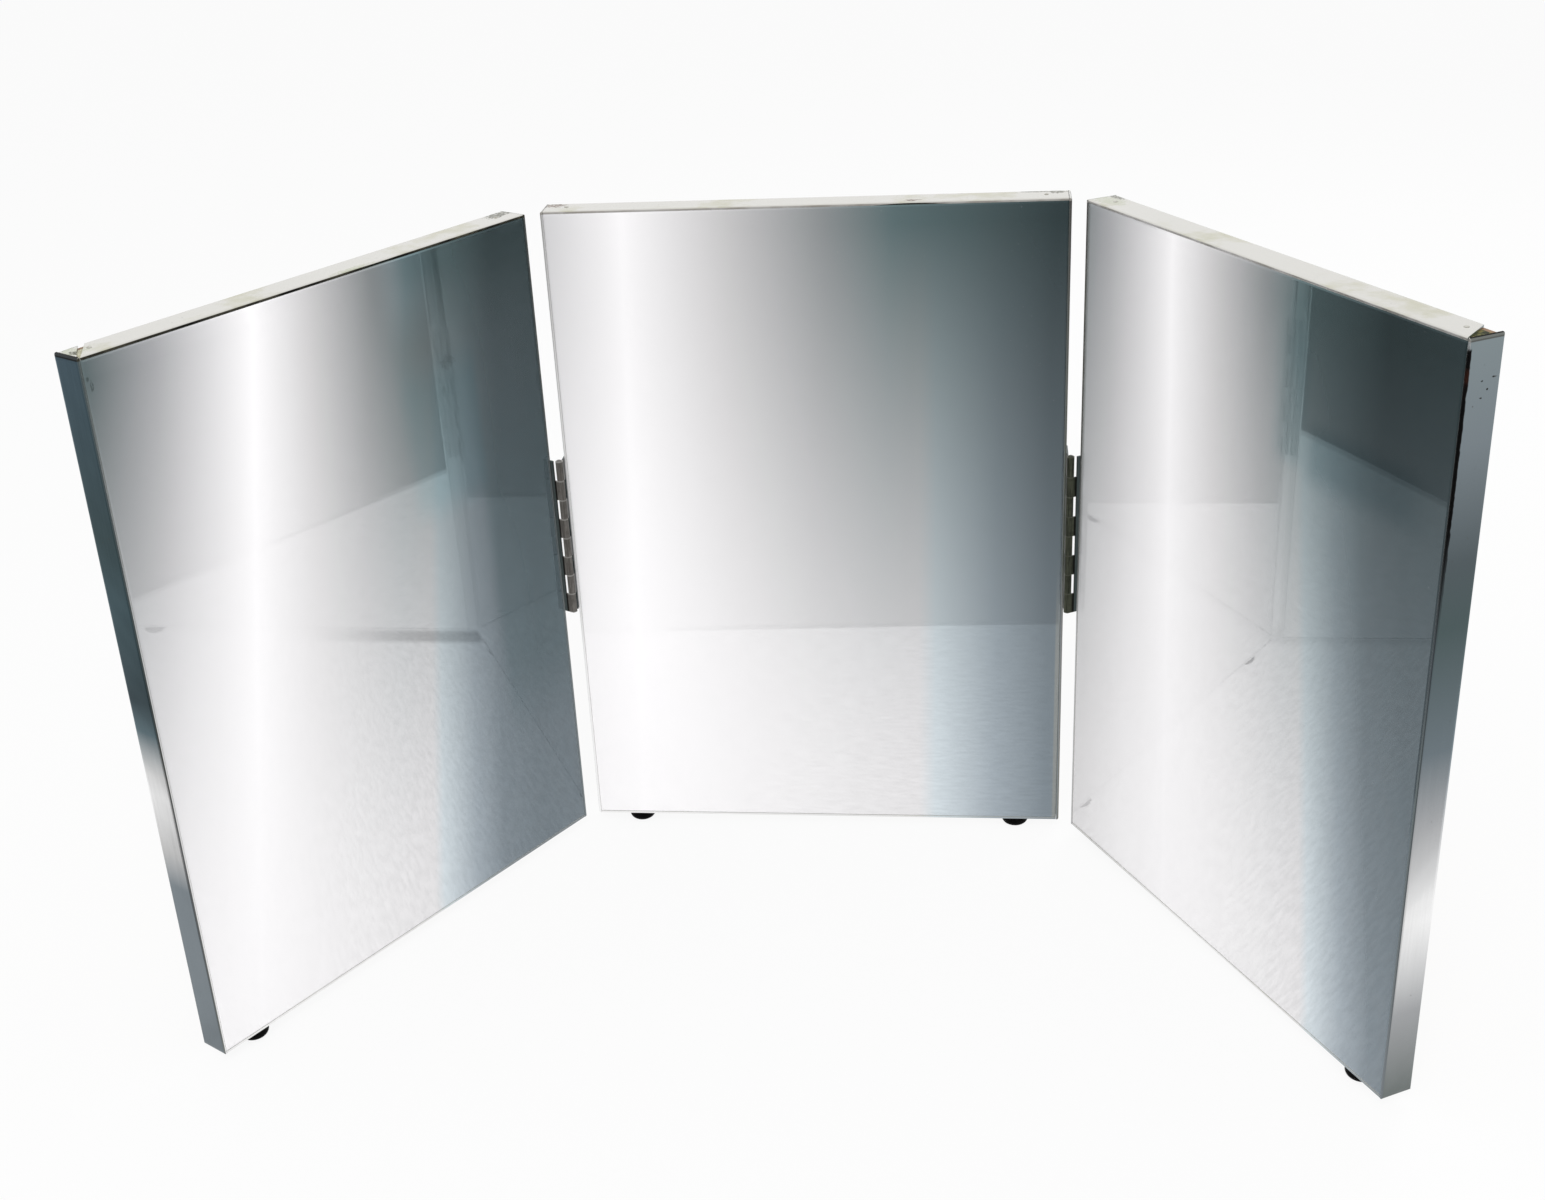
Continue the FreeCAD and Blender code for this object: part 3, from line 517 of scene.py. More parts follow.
def seam_and_chips(place, stained, colour):
    """A colour with the right wing's open seam, painted black as its shade and rusty near the top, and its
    chips.
    """
    x, y, z = split(place)
    ragged_back = maths("ADD", y, product(noise(place, 260.0, 2.0), RAGGED))
    seam = product(between(ragged_back, *SEAM_BACK), between(x, *SEAM_ACROSS),
                   reaching(z, SEAM_REACH))
    rusty = product(reaching(z, RUST_REACH), stained)
    # painted shade: the seam is painted black, rust-brown near the top
    colour = mixed(seam, colour, mixed(rusty, 0.008, (0.095, 0.032, 0.018)))
    chips = 0.0
    for (back, up), (half_back, half_up) in SIDE_CHIPS:
        chips = maths("MAXIMUM", chips, spot(place, (0.0, back, up), (0.0, half_back, half_up)))
    on_side = between(x, 0.1518, 0.152)
    return mixed(product(chips, on_side), colour, (0.025, 0.022, 0.02))


def strip_end(panel, place, front, colour):
    """A colour with the top end of the free side strip: a folded edge round a hollow painted dark as shade.
    """
    x, _, z = split(place)
    outward = product(x, FREE_SIDE[panel])
    end = product(between(outward, *END_ACROSS), maths("SUBTRACT", 1.0, front),
                  between(z, *END_UP))
    # painted shade: inside the fold the end is painted near black, where no hollow is modelled
    fold = mixed(between(outward, *FOLD_ACROSS), (0.01, 0.01, 0.009), END_TONES[panel])
    return mixed(end, colour, fold)


def edging_material(panel):
    """Chromed edging strip: pale where it faces up, with olive tarnish, and drawn along its run. Its
    side faces and front lips carry painted reflections and shade.
    """
    material, tree, shader = new_material(f"{panel}_chromed_edging")
    place, facing = panel_place(tree, panel)
    x, _, z = split(place)
    face_x, face_y, face_z = split(facing)
    front = between(face_y, -0.25, -0.6)
    inward = between(product(face_x, maths("SIGN", x)), -0.4, -0.8)
    top = between(face_z, 0.25, 0.6)
    side = between(maths("ABSOLUTE", face_x), 0.5, 0.85)
    lines = use(tree, drawn_metal, Place=place, Stretch=(1.0, 1.0, 0.02))
    marks = use(tree, handling, Place=place, Smudges=0.8, Specks=1.0)
    stained = between(noise(place, 60.0, 3.0), 0.35, 0.65)
    chrome = mixed(lines["Waves"], (0.66, 0.68, 0.69), (0.8, 0.81, 0.81))
    colour = mixed(side, chrome, ramp(up_panel(z), PAINTED_SIDE_REFLECTIONS[panel]))
    lip = edging_lip(tree, panel, place, stained)
    colour = mixed(maths("MAXIMUM", front, inward), colour, lip)
    if panel == "right_wing":
        colour = seam_and_chips(place, stained, colour)
    colour = mixed(top, colour, edging_top(panel, place))
    if panel in FREE_SIDE:
        colour = strip_end(panel, place, front, colour)
    colour = mixed(product(marks["Specks"], 0.6), colour, (0.1, 0.09, 0.08))
    # painted light: in the mirrors the edging shows plain pale greys, one low and one high up the strip
    painted_tones_in_glass = mixed(between(z, 0.24, 0.32), PAINTED_TONES_IN_GLASS["edging"], PAINTED_TONES_IN_GLASS["edging_top"])
    rough = between(lines["Lines"], 0.2, 0.8, 0.1, 0.22, smooth=False)
    relief = maths("ADD", product(lines["Lines"], 0.02), lines["Waves"])
    fill(tree, shader, {"Base Color": mixed(camera_ray(tree), painted_tones_in_glass, colour), "Metallic": 1.0,
                        "Roughness": maths("ADD", rough, product(marks["Film"], 0.15)),
                        "Normal": bump(relief, 0.15, 0.0004)})
    return material


# -------- boards, rubber, hinges and fasteners
def hardboard_material():
    """Hardboard: pressed brown fibre, mottled, with darker flecks."""
    material, tree, shader = new_material("hardboard")
    place = object_place(tree)
    mottle = noise(place, 30.0, 6.0, 0.65)
    fibres = noise(place, 700.0, 5.0, 0.7, (1.0, 1.0, 0.25))
    flecks = between(noise(place, 420.0, 3.0, 0.6), 0.6, 0.7)
    colour = mixed(mottle, (0.15, 0.078, 0.036), (0.26, 0.15, 0.078))
    colour = mixed(between(fibres, 0.3, 0.7, 0.0, 0.5), colour, (0.32, 0.2, 0.11))
    colour = mixed(product(flecks, 0.45), colour, (0.07, 0.035, 0.018))
    fill(tree, shader, {"Base Color": colour, "Roughness": between(fibres, 0.2, 0.8, 0.48, 0.66),
                        "Normal": bump(fibres, 0.35, 0.0003)})
    return material


DARK_CHIPS = ((0.34, (0.01, 0.013, 0.008)), (0.47, (0.035, 0.038, 0.018)), (0.56, (0.2, 0.19, 0.06)),
              (0.66, (0.14, 0.065, 0.03)))
PALE_CHIPS = ((0.3, (0.3, 0.28, 0.18)), (0.45, (0.52, 0.5, 0.36)), (0.7, (0.66, 0.64, 0.5)))
CHIP_TONES = {"centre": DARK_CHIPS, "left_wing": PALE_CHIPS, "right_wing": DARK_CHIPS}


def core_material(panel):
    """Core board: chips pressed flat and streaked, pale on the left wing and dark elsewhere."""
    material, tree, shader = new_material(f"{panel}_pressed_core")
    place = panel_place(tree, panel)[0]
    chips = noise(place, 260.0, 5.0, 0.7, (1.0, 1.0, 0.4))
    streaks = noise(place, 120.0, 4.0, 0.6, (1.0, 1.0, 6.0))
    colour = mixed(between(streaks, 0.4, 0.7, 0.0, 0.4), ramp(chips, CHIP_TONES[panel]),
                   (0.075, 0.085, 0.035))
    fill(tree, shader, {"Base Color": colour, "Roughness": 0.85, "Normal": bump(chips, 0.7, 0.0006)})
    return material


def rubber_material():
    """Black moulded rubber with a dusty bloom and fine pores."""
    material, tree, shader = new_material("black_rubber")
    place = object_place(tree)
    pores = noise(place, 2200.0, 3.0, 0.6)
    bloom = between(noise(place, 180.0, 4.0, 0.6), 0.45, 0.75)
    black = mixed(bloom, 0.001, 0.004)
    # painted light: in the mirrors the rubber shows a plain pale grey instead of its black
    fill(tree, shader, {"Base Color": mixed(camera_ray(tree), PAINTED_TONES_IN_GLASS["rubber"], black),
                        "Specular IOR Level": 0.03, "Roughness": between(bloom, 0.0, 1.0, 0.48, 0.68),
                        "Normal": bump(pores, 0.25, 0.0001)})
    return material


# a hinge's barrel, its dull streaks and the joints between its knuckles: lit and shaded copies,
# painted lighter on the left hinge than on the right, with painted light at the joints
LIT_AND_SHADED_HINGE_TONES = {
    "left": ((0.2, 0.19, 0.176), (0.1, 0.094, 0.086), (0.42, 0.41, 0.39)),
    "right": ((0.078, 0.082, 0.06), (0.03, 0.034, 0.025), (0.1, 0.105, 0.08)),
}
# how far back the painted shadow behind the barrel and the leaf begin and are full
PAINTED_SHADOW_BACK, LEAF_BACK = (-0.0034, -0.0028), (-0.002, -0.0014)


def hinge_material(side, panel):
    """Plated hinge steel: dull and streaked along the barrel, with painted light at the joints between
    knuckles, a painted black shadow just behind the barrel and grey where the leaf runs on."""
    material, tree, shader = new_material(f"{side}_hinge_steel_on_{panel}")
    place = panel_place(tree, panel)[0]
    _, y, z = split(place)
    lines = use(tree, drawn_metal, Place=place, Stretch=(1.0, 1.0, 0.03))
    marks = use(tree, handling, Place=place, Smudges=1.0, Specks=1.0)
    steps = maths("DIVIDE", maths("SUBTRACT", z, HINGE_BOTTOM * MM), KNUCKLE * MM)
    from_joint = maths("PINGPONG", steps, 0.5)
    dull = between(noise(place, 220.0, 4.0, 0.6), 0.4, 0.7)
    streaks = between(noise(place, 1.0, 3.0, 0.6, (1500.0, 1500.0, 60.0)), 0.4, 0.62)
    bright, dark, painted_joint_light = LIT_AND_SHADED_HINGE_TONES[side]
    colour = mixed(maths("MAXIMUM", product(dull, 0.8), streaks), bright, dark)
    # painted light at the joints between knuckles, then a painted shadow behind the barrel and the leaf's
    # grey
    colour = mixed(between(from_joint, 0.05, 0.02, 0.0, 0.8), colour, painted_joint_light)
    colour = mixed(between(y, *PAINTED_SHADOW_BACK), colour, (0.008, 0.008, 0.007))
    colour = mixed(between(y, *LEAF_BACK), colour, (0.07, 0.088, 0.088))
    relief = maths("ADD", product(lines["Lines"], 0.3), marks["Height"])
    # painted light: in the mirrors the hinge shows a plain pale grey
    fill(tree, shader, {"Base Color": mixed(camera_ray(tree), PAINTED_TONES_IN_GLASS["hinge"], colour),
                        "Metallic": 1.0, "Roughness": between(lines["Lines"], 0.2, 0.8, 0.26, 0.42),
                        "Normal": bump(relief, 0.3, 0.0001)})
    return material


def steel_material(name, bright, dark, low_rough, high_rough):
    """Plain fastener steel, from bright to dark where it is stained."""
    material, tree, shader = new_material(name)
    place = object_place(tree)
    stain = between(noise(place, 320.0, 4.0, 0.65), 0.42, 0.7)
    fill(tree, shader, {"Base Color": mixed(stain, bright, dark), "Metallic": 1.0,
                        "Roughness": between(stain, 0.0, 1.0, low_rough, high_rough),
                        "Normal": bump(noise(place, 1500.0, 3.0), 0.2, 0.0001)})
    return material


def tape_material():
    """White foam mounting tape, open pored."""
    material, tree, shader = new_material("foam_tape")
    pores = noise(object_place(tree), 1300.0, 4.0, 0.7)
    fill(tree, shader, {"Base Color": mixed(pores, (0.55, 0.54, 0.5), (0.78, 0.77, 0.73)),
                        "Roughness": 0.9, "Normal": bump(pores, 0.6, 0.0003)})
    return material


silvering = {panel: mirror_material(panel) for panel in PANELS}
chromed_edging = {panel: edging_material(panel) for panel in PANELS}
hinge_steel = {(side, panel): hinge_material(side, panel)
               for side in ("left", "right") for panel in ("centre", f"{side}_wing")}
hardboard = hardboard_material()
pressed_core = {panel: core_material(panel) for panel in PANELS}
black_rubber = rubber_material()
foam_tape = tape_material()
screw_steel = steel_material("screw_steel", (0.5, 0.48, 0.44), (0.22, 0.19, 0.15), 0.24, 0.45)
tack_steel = steel_material("tack_steel", (0.42, 0.42, 0.43), (0.16, 0.14, 0.12), 0.28, 0.5)
pin_steel = steel_material("pin_steel", (0.62, 0.61, 0.56), (0.3, 0.27, 0.2), 0.2, 0.4)


def node_material(name, body):
    """The material of a CAD node, by the end of its name and by the body it rides on."""
    if name.endswith(("leaf", "hinge_pin")):
        return hinge_steel[name.split("_")[0], body]
    by_ending = {"mirror_glass": silvering[body], "strip": chromed_edging[body],
                 "core_board": pressed_core[body], "back_board": hardboard, "mirror_tape": foam_tape,
                 "back_tacks": tack_steel, "trim_pins": pin_steel, "screws": screw_steel,
                 "foot": black_rubber}
    return next(material for ending, material in by_ending.items() if name.endswith(ending))


for node_name, cad_node in frame["nodes"].items():
    cad_node.data.materials.clear()
    cad_node.data.materials.append(node_material(node_name, cad_node["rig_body"]))


# -------- glass, in mm
GLASS_THICKNESS = 3.0
ARRIS_WIDTH, ARRIS_DEPTH = 0.9, 0.2
# open joint between the glass and the edging: left, right, bottom and top
GLASS_JOINTS = {"centre": (0.08, 0.2, 0.12, 0.05), "left_wing": (0.2, 0.12, 0.12, 0.3),
                "right_wing": (0.12, 0.2, 0.12, 0.06)}
GLASS_SEED = 7


def in_part(panel, points):
    """Points in a panel's frame, in mm, carried over to the part's frame in metres."""
    turn = np.array(PANELS[panel])
    return points * MM @ turn[:3, :3].T + turn[:3, 3]


def grid_lines(low, high, arris, count):
    """Places of a grid's lines: both edges, both lines where the arris ends, and even ones between."""
    return np.concatenate(([low], np.linspace(low + arris, high - arris, count), [high]))


def glass_mesh(panel):
    """Glass plate as two grids joined round the rim. The front grid falls away over its last
    lines as an arris, and rolls by a hundredth of a millimetre in sums of long slow sine waves."""
    left, right, bottom, top = GLASS_JOINTS[panel]
    across = grid_lines(left - INSIDE, INSIDE - right, ARRIS_WIDTH, 60)
    up = grid_lines(PANEL_BOTTOM + EDGING + bottom, PANEL_TOP - EDGING - top, ARRIS_WIDTH, 80)
    x, z = np.meshgrid(across, up)
    inside = np.minimum(np.minimum(x - across[0], across[-1] - x), np.minimum(z - up[0], up[-1] - z))
    fall = ARRIS_DEPTH * np.clip(1 - inside / ARRIS_WIDTH, 0, 1)
    shift = np.random.default_rng(GLASS_SEED).uniform(0.0, math.tau, 3)
    roll = (np.sin(x / 21.0 + shift[0]) * np.sin(z / 34.0 + shift[1])
            + 0.6 * np.sin(x / 47.0 - z / 29.0 + shift[2])) * 0.006 + 0.012
    front = np.stack((x, fall + roll, z), -1).reshape(-1, 3)
    back = np.stack((x, np.full_like(x, GLASS_THICKNESS), z), -1).reshape(-1, 3)
    rows, columns = x.shape
    count = rows * columns
    index = np.arange(count).reshape(rows, columns)
    face = np.stack((index[:-1, :-1], index[:-1, 1:], index[1:, 1:], index[1:, :-1]), -1).reshape(-1, 4)
    rim = np.concatenate((index[0, :-1], index[:-1, -1], index[-1, :0:-1], index[:0:-1, 0]))
    after = np.roll(rim, -1)
    wall = np.stack((rim, rim + count, after + count, after), -1)
    mesh = bpy.data.meshes.new(f"{panel}_glass")
    mesh.from_pydata(in_part(panel, np.concatenate((front, back))).tolist(), [],
                     np.concatenate((face, face[:, ::-1] + count, wall)).tolist())
    mesh.shade_smooth()
    mesh.set_sharp_from_angle(angle=math.radians(5.0))
    return mesh


# -------- edging, in mm
INNER_ROUND = 0.12               # of the edging's two inner corners
END_ROUND = 0.22                 # of the rim of its cut ends
LEVEL_CORNER, SIDE_CORNER = 0.25, 1.45   # how far the ends of level and side strips are rounded off
TOP_ARRIS, ARRIS = 0.75, 0.5     # outer front and back edges of the top strips, and of the others
WAVE = 0.02                      # half of how far the outer face waves
ARC_POINTS, RUN_POINTS = 5, 16   # on a rounded corner of the outline, and on a straight run of it
# distances from a cut end at which its outline is closed in, before the even ones take over
END_RINGS = np.array([0.0, 0.05, 0.12, 0.22, 0.4, 0.65, 0.95, 1.3])
EVEN_RINGS = np.linspace(0.0, 1.0, 121)[1:-1]


def bar_outline(thickness, depth, outer_round, inner_round):
    """Outline of a bar's cross-section as points (out, back): four quarter circles at its corners,
    joined by straight runs divided evenly."""
    angles = np.linspace(0.0, math.pi / 2, ARC_POINTS)
    out, back = [], []
    corners = ((inner_round, inner_round, inner_round, math.pi),
               (thickness - outer_round, outer_round, outer_round, 1.5 * math.pi),
               (thickness - outer_round, depth - outer_round, outer_round, 0.0),
               (inner_round, depth - inner_round, inner_round, 0.5 * math.pi))
    for number, (centre_out, centre_back, radius, turn) in enumerate(corners):
        out.append(centre_out + radius * np.cos(angles + turn))
        back.append(centre_back + radius * np.sin(angles + turn))
        if number in (1, 3):
            following = corners[(number + 1) % 4]
            share = np.linspace(0.0, 1.0, RUN_POINTS + 2)[1:-1]
            first = (out[-1][-1], back[-1][-1])
            last = (following[0] + following[2] * math.cos(following[3]),
                    following[1] + following[2] * math.sin(following[3]))
            out.append(first[0] + (last[0] - first[0]) * share)
            back.append(first[1] + (last[1] - first[1]) * share)
    return np.concatenate(out), np.concatenate(back)


def tube_mesh(name, points):
    """Mesh of a closed tube from points[ring, corner]: quads between rings and a face on each end."""
    rings, corners = points.shape[:2]
    index = np.arange(rings * corners).reshape(rings, corners)
    quads = np.stack((index[:-1], np.roll(index[:-1], -1, 1), np.roll(index[1:], -1, 1), index[1:]), -1)
    mesh = bpy.data.meshes.new(name)
    faces = quads.reshape(-1, 4).tolist() + [index[0].tolist(), index[-1].tolist()]
    mesh.from_pydata(points.reshape(-1, 3).tolist(), [], faces)
    outward = bmesh.new()
    outward.from_mesh(mesh)
    bmesh.ops.recalc_face_normals(outward, faces=outward.faces)
    outward.to_mesh(mesh)
    outward.free()
    mesh.shade_smooth()
    return mesh


def new_object(name, data):
    """Adds an object to the scene."""
    thing = bpy.data.objects.new(name, data)
    bpy.context.scene.collection.objects.link(thing)
    return thing


def new_piece(name, mesh, material, body, slot, *nodes):
    """Adds a finished mesh to the scene as a piece that rides on a body and stands for nodes."""
    piece = new_object(name, mesh)
    mesh.materials.append(material)
    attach(piece, body)
    if nodes:
        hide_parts(*nodes)


def rounded_off(distance, radius):
    """How far a rounded end stands in from its side, at a distance from the end."""
    inside = np.clip(radius - distance, 0.0, radius)
    return radius - np.sqrt(radius ** 2 - inside ** 2)


def edging_mesh(name, panel, origin, along, out, start, end, corner_round, arris, lifts, seed):
    """One length of edging. Its outline is carried from start(back) to end(back) along the panel's
    edge, closed in at both ends, and its outer face waves by a few hundredths of a millimetre.
    lifts are places (middle, half length, height) where the inner front edge stands off the board."""
    ring_out, ring_back = bar_outline(EDGING, PANEL_DEPTH, arris, INNER_ROUND)
    run_start, run_end = start(ring_back), end(ring_back)
    length = run_end - run_start
    near = END_RINGS[:, None] / length
    even = np.clip(EVEN_RINGS[:, None] + 0 * near[:1], near[-1], 1 - near[-1])
    share = np.concatenate((near, even, 1 - near[::-1]))
    place = run_start + share * length
    distance = np.minimum(share, 1 - share) * length
    inset = rounded_off(distance, END_ROUND)
    outwards = np.clip(ring_out + 0 * place, inset, EDGING - inset)
    backwards = np.clip(ring_back + 0 * place, inset, PANEL_DEPTH - inset)
    outwards = np.minimum(outwards, EDGING - rounded_off(distance, corner_round))
    shift = np.random.default_rng(seed).uniform(0.0, math.tau, 3)
    wave = (np.sin(place / 9.0 + shift[0]) + np.sin(place / 5.3 + ring_back / 4.0 + shift[1])
            + 0.7 * np.sin(place / 2.9 - ring_back / 3.0 + shift[2])) / 2.7
    outwards = outwards - WAVE * (1 + wave) * np.clip(ring_out / EDGING * 2 - 1, 0, 1)
    for lift_middle, half, height in lifts:
        bell = np.clip(1 - ((place - lift_middle) / half) ** 2, 0, 1) ** 1.5
        front = np.clip(1 - backwards / 2.5, 0, 1)
        outwards = outwards + height * bell * front * np.clip(1 - ring_out / EDGING * 1.4, 0, 1)
    points = (np.array(origin) + place[..., None] * np.array(along) + outwards[..., None] * np.array(out)
              + backwards[..., None] * np.array((0.0, 1.0, 0.0)))
    return tube_mesh(name, in_part(panel, points))


def clipped(side, front, back):
    """Where a level strip ends, as a function of how far back: cut from front to back clips."""
    limit = INSIDE - EDGING_GAP
    return lambda depth: side * (limit - front - (back - front) * depth / PANEL_DEPTH)


def level_cut(height):
    """Where a side strip ends, as a function of how far back: at one height."""
    return lambda depth: height + 0 * depth


# how far the top strips are cut back at their left and right ends, each at the front and at the back
PLAIN_END = (-0.15, -0.15)
TOP_CLIPS = {"centre": (PLAIN_END, PLAIN_END), "left_wing": ((0.3, 15.5), PLAIN_END),
             "right_wing": (PLAIN_END, (0.3, 11.0))}
# where the top strips are lifted off the board: middle, half length and height
TOP_LIFTS = {"centre": ((62.0, 22.0, 0.9),), "left_wing": ((40.0, 16.0, 1.0),), "right_wing": ()}
SIDE_NAMES = {"centre": ("left", "right"), "left_wing": ("outer", "hinge"), "right_wing": ("hinge", "outer")}


def make_edging():
    """The four lengths of edging round each panel, each with its own seed for its waves."""
    side_cuts = (level_cut(PANEL_BOTTOM), level_cut(PANEL_TOP), SIDE_CORNER, ARRIS, ())
    for number, panel in enumerate(PANELS):
        left_clip, right_clip = TOP_CLIPS[panel]
        lengths = (
            ("top", (0, 0, PANEL_TOP - EDGING), (1, 0, 0), (0, 0, 1), clipped(-1, *left_clip),
             clipped(1, *right_clip), LEVEL_CORNER, TOP_ARRIS, TOP_LIFTS[panel]),
            ("bottom", (0, 0, PANEL_BOTTOM + EDGING), (1, 0, 0), (0, 0, -1), clipped(-1, 0.0, 0.0),
             clipped(1, 0.0, 0.0), LEVEL_CORNER, ARRIS, ()),
            (SIDE_NAMES[panel][0], (-INSIDE, 0, 0), (0, 0, 1), (-1, 0, 0), *side_cuts),
            (SIDE_NAMES[panel][1], (INSIDE, 0, 0), (0, 0, 1), (1, 0, 0), *side_cuts),
        )
        for step, (side, *shape) in enumerate(lengths):
            name = f"{panel}_{side}_edging"
            mesh = edging_mesh(name, panel, *shape, 10 * number + step)
            new_piece(name, mesh, chromed_edging[panel], panel, "edge_strip", f"{panel}_{side}_strip")


def tab_mesh(name, panel, outer_line, inner_line):
    """Folded tab of thin metal: a plate spanned between an outer and an inner line of points
    (x, back, height), crowned a little along its middle, with its lower skin a quarter millimetre down."""
    across, along = np.meshgrid(np.linspace(0.0, 1.0, 9), np.linspace(0.0, 1.0, 25), indexing="ij")
    outer, inner = (np.stack([np.interp(along, np.linspace(0, 1, len(line)), axis)
                              for axis in zip(*line)], -1) for line in (outer_line, inner_line))
    upper = outer + (inner - outer) * across[..., None]
    upper[..., 2] += 0.12 * np.sin(math.pi * across) - 0.1 * np.sin(math.pi * 3 * along) * across
    lower = upper - np.array((0.0, 0.0, 0.25))
    rings = np.concatenate((upper, lower[::-1]), 0).transpose(1, 0, 2)
    return tube_mesh(name, in_part(panel, rings))


make_edging()
new_piece("left_wing_corner_tab", tab_mesh(
    "left_wing_corner_tab", "left_wing",
    ((-150.6, 3.2, 413.0), (-150.6, 10.5, 413.2), (-150.6, 18.0, 413.3)),
    ((-149.9, 3.6, 413.1), (-145.0, 10.8, 413.4), (-139.0, 18.0, 413.6))),
    chromed_edging["left_wing"], "left_wing", "edge_strip")
for panel_name in PANELS:
    new_piece(f"{panel_name}_glass", glass_mesh(panel_name), silvering[panel_name], panel_name,
              "mirror_glass", f"{panel_name}_mirror_glass")


# -------- stage
TABLE_REACH = 6.0                # how far the table goes each way, in metres
TABLE_FRONT = -0.184             # where the table top ends in front of the mirror, in metres
TABLE_SKEW = -0.05               # how far its edge runs forward for each metre to the right
# painted shade: how light the table looks in the mirrors, painted darker by distance behind the
# panels in metres and close under the two wings, the right one's counted from UNDER_OFFSET in front of it
PAINTED_SHADE_BEHIND = ((0.05, 1.0), (0.3, 0.92), (0.8, 0.6))
PAINTED_SHADE_UNDER_LEFT = ((0.006, 1.0), (0.014, 0.86), (0.026, 0.88), (0.056, 1.0))
PAINTED_SHADE_UNDER_RIGHT = ((0.002, 1.0), (0.006, 0.5), (0.022, 0.52), (0.03, 1.0))
UNDER_OFFSET = 0.01
# across the right wing, the painted shade under it is deep at the hinge and dies out towards the free end
UNDER_REACH = (-0.17, -0.156, -0.13, 0.02)
# how light the room is past the table's edge, from ROOM_HALF degrees left of forward to as many right
ROOM_TONES = ((0.14, 0.34), (0.17, 0.75), (0.19, 0.94), (0.225, 0.4), (0.333, 0.74), (0.4, 0.86),
              (0.467, 0.74), (0.55, 0.7), (0.867, 0.6), (0.917, 0.25), (1.0, 0.6))
ROOM_HALF = 60.0
WHITE = 0.985                    # of the table and the room, as the camera sees them


def seen_ray(rays):
    """1 for a ray that shows a surface, straight, in a mirror or through one, and 0 for one of light."""
    shown = maths("MAXIMUM", rays["Is Camera Ray"], rays["Is Glossy Ray"])
    return maths("MAXIMUM", shown, rays["Is Transmission Ray"])


def make_table():
    """White table top. Metal and glass see past its front edge, down into the room. In the mirrors it
    is painted with shade behind and close under the panels and darker along its front edge.
    """
    material, tree, _ = new_material("table_white")
    tree.nodes.clear()
    rays = add(tree, "LightPath").outputs
    glossy = rays["Is Glossy Ray"]
    place = object_place(tree)
    x, y, _ = split(place)
    weave = between(noise(place, 1.0, 3.0, 0.6, (70.0, 420.0, 1.0)), 0.35, 0.65, 0.88, 1.02)
    behind_centre = split(panel_place(tree, "centre")[0])[1]
    behind_left = split(panel_place(tree, "left_wing")[0])[1]
    across, behind_right, _ = split(panel_place(tree, "right_wing")[0])
    behind = maths("MAXIMUM", behind_centre, maths("MAXIMUM", behind_left, behind_right))
    # the painted shade under the right wing shows in a first reflection only
    under = product(reaching(across, UNDER_REACH),
                    maths("LESS_THAN", rays["Glossy Depth"], 1.5))
    shade = ramp(maths("ADD", behind_right, UNDER_OFFSET), PAINTED_SHADE_UNDER_RIGHT)
    painted_tones_in_glass = mixed(under, 1.0, shade)
    # in the mirrors the table is painted darker in a line along its front edge
    edge = maths("SUBTRACT", y, product(x, TABLE_SKEW))
    for other in (ramp(behind_left, PAINTED_SHADE_UNDER_LEFT), ramp(behind, PAINTED_SHADE_BEHIND), weave,
                  between(edge, TABLE_FRONT + 0.01, TABLE_FRONT + 0.007, 1.0, 0.72)):
        painted_tones_in_glass = mixed(1.0, painted_tones_in_glass, other, "MULTIPLY")
    shown = mixed(glossy, WHITE, painted_tones_in_glass)
    glow = add(tree, "Emission", {"Color": shown, "Strength": 1.0}).outputs[0]
    lit = add(tree, "BsdfDiffuse", {"Color": as_colour(0.9)}).outputs[0]
    glowing = product(seen_ray(rays), 0.9)
    top = add(tree, "MixShader", {0: glowing, 1: lit, 2: glow}).outputs[0]
    past = product(glossy, between(edge, TABLE_FRONT + 0.001, TABLE_FRONT - 0.001))
    through = add(tree, "BsdfTransparent").outputs[0]
    add(tree, "OutputMaterial", {0: add(tree, "MixShader", {0: past, 1: top, 2: through}).outputs[0]})
    mesh = bpy.data.meshes.new("table_top")
    far = TABLE_REACH
    mesh.from_pydata([(-far, -far, 0), (far, -far, 0), (far, far, 0), (-far, far, 0)], [], [(0, 1, 2, 3)])
    mesh.materials.append(material)
    new_object("table_top", mesh)


make_table()


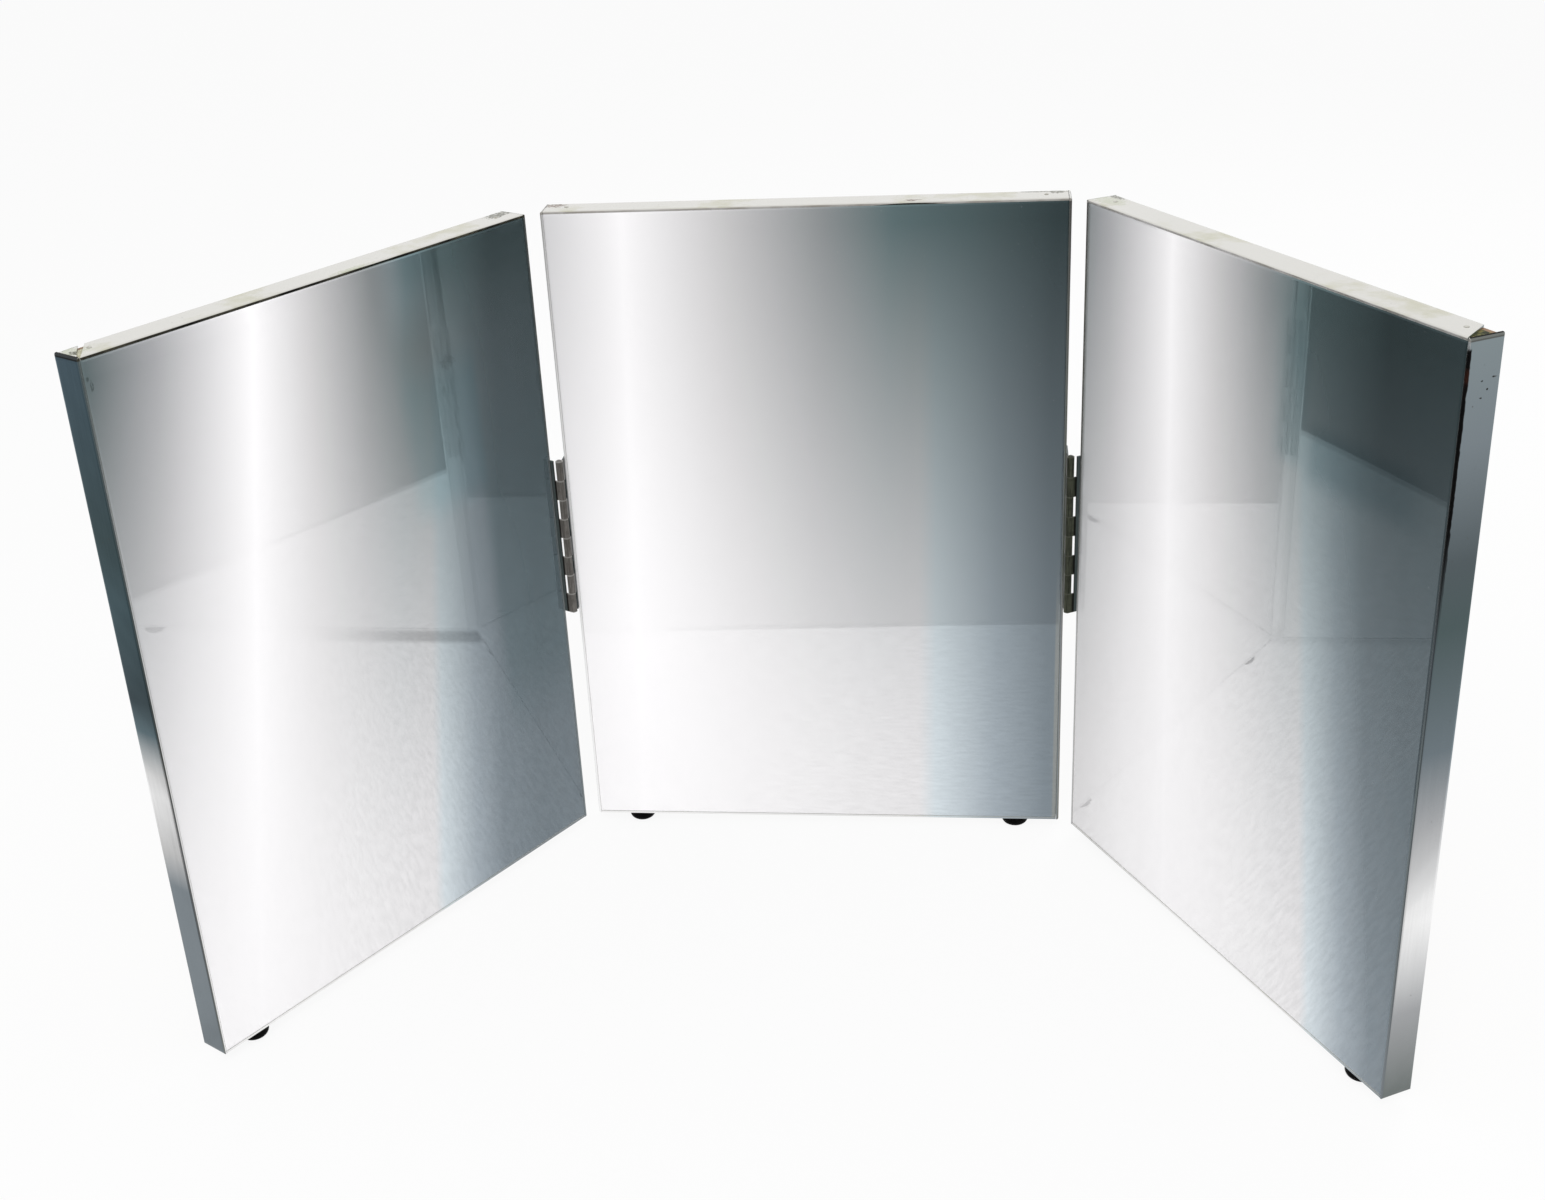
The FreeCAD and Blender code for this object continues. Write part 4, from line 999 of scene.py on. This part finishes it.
def make_world():
    """White to the camera and softer as light. Metal and glass see it white above the table, and
    below in tones that change with the direction."""
    world = bpy.data.worlds.new("soft_room")
    bpy.context.scene.world = world
    world.use_nodes = True
    tree = world.node_tree
    tree.nodes.clear()
    rays = add(tree, "LightPath").outputs
    strength = between(seen_ray(rays), 0.0, 1.0, 0.8, 1.0, smooth=False)
    right, back, up = split(add(tree, "TexCoord").outputs["Generated"])
    turn = maths("ARCTAN2", right, product(back, -1.0))
    half = math.radians(ROOM_HALF)
    tone = ramp(between(turn, -half, half, smooth=False), ROOM_TONES)
    below = product(rays["Is Glossy Ray"], between(up, 0.02, -0.02))
    strength = product(strength, mixed(below, 1.0, tone))
    background = add(tree, "Background", {"Color": as_colour(WHITE), "Strength": strength}).outputs[0]
    add(tree, "OutputWorld", {0: background})


make_world()


def make_lamp(name, place, target, size, energy):
    """Broad soft lamp, not itself seen in the mirrors."""
    light = bpy.data.lights.new(name, "AREA")
    light.shape = "DISK"
    light.size = size
    light.energy = energy
    lamp = new_object(name, light)
    lamp.matrix_world = (Matrix.Translation(place)
                         @ (Vector(place) - Vector(target)).to_track_quat("Z", "Y").to_matrix().to_4x4())
    lamp.visible_glossy = False
    lamp.visible_camera = False


make_lamp("key_lamp", (0.0, -1.6, 1.8), (0.0, 0.0, 0.2), 1.2, 20.0)
make_lamp("back_lamp", (0.9, 1.4, 1.5), (0.0, 0.0, 0.2), 1.2, 9.0)


# -------- camera
PICTURE_WIDTH = 1545
FOCAL_PIXELS = 1911.6
SENSOR_WIDTH = 36.0              # mm
LENS_SHIFT = (0.0248, 0.0237)    # shares of the picture's width
CAMERA_PLACE = (0.10999, -0.95644, 0.6705)
YAW, PITCH, ROLL = 8.375, -25.881, -3.498   # degrees


def make_camera():
    """The camera that the scene is seen through."""
    camera = bpy.data.cameras.new("camera")
    camera.sensor_width = SENSOR_WIDTH
    camera.lens = FOCAL_PIXELS / PICTURE_WIDTH * SENSOR_WIDTH
    camera.shift_x, camera.shift_y = LENS_SHIFT
    holder = new_object("camera", camera)
    holder.matrix_world = (Matrix.Translation(CAMERA_PLACE) @ Matrix.Rotation(math.radians(YAW), 4, "Z")
                           @ Matrix.Rotation(math.pi / 2 + math.radians(PITCH), 4, "X")
                           @ Matrix.Rotation(math.radians(ROLL), 4, "Z"))
    bpy.context.scene.camera = holder


make_camera()
bpy.context.scene.view_settings.view_transform = "Standard"
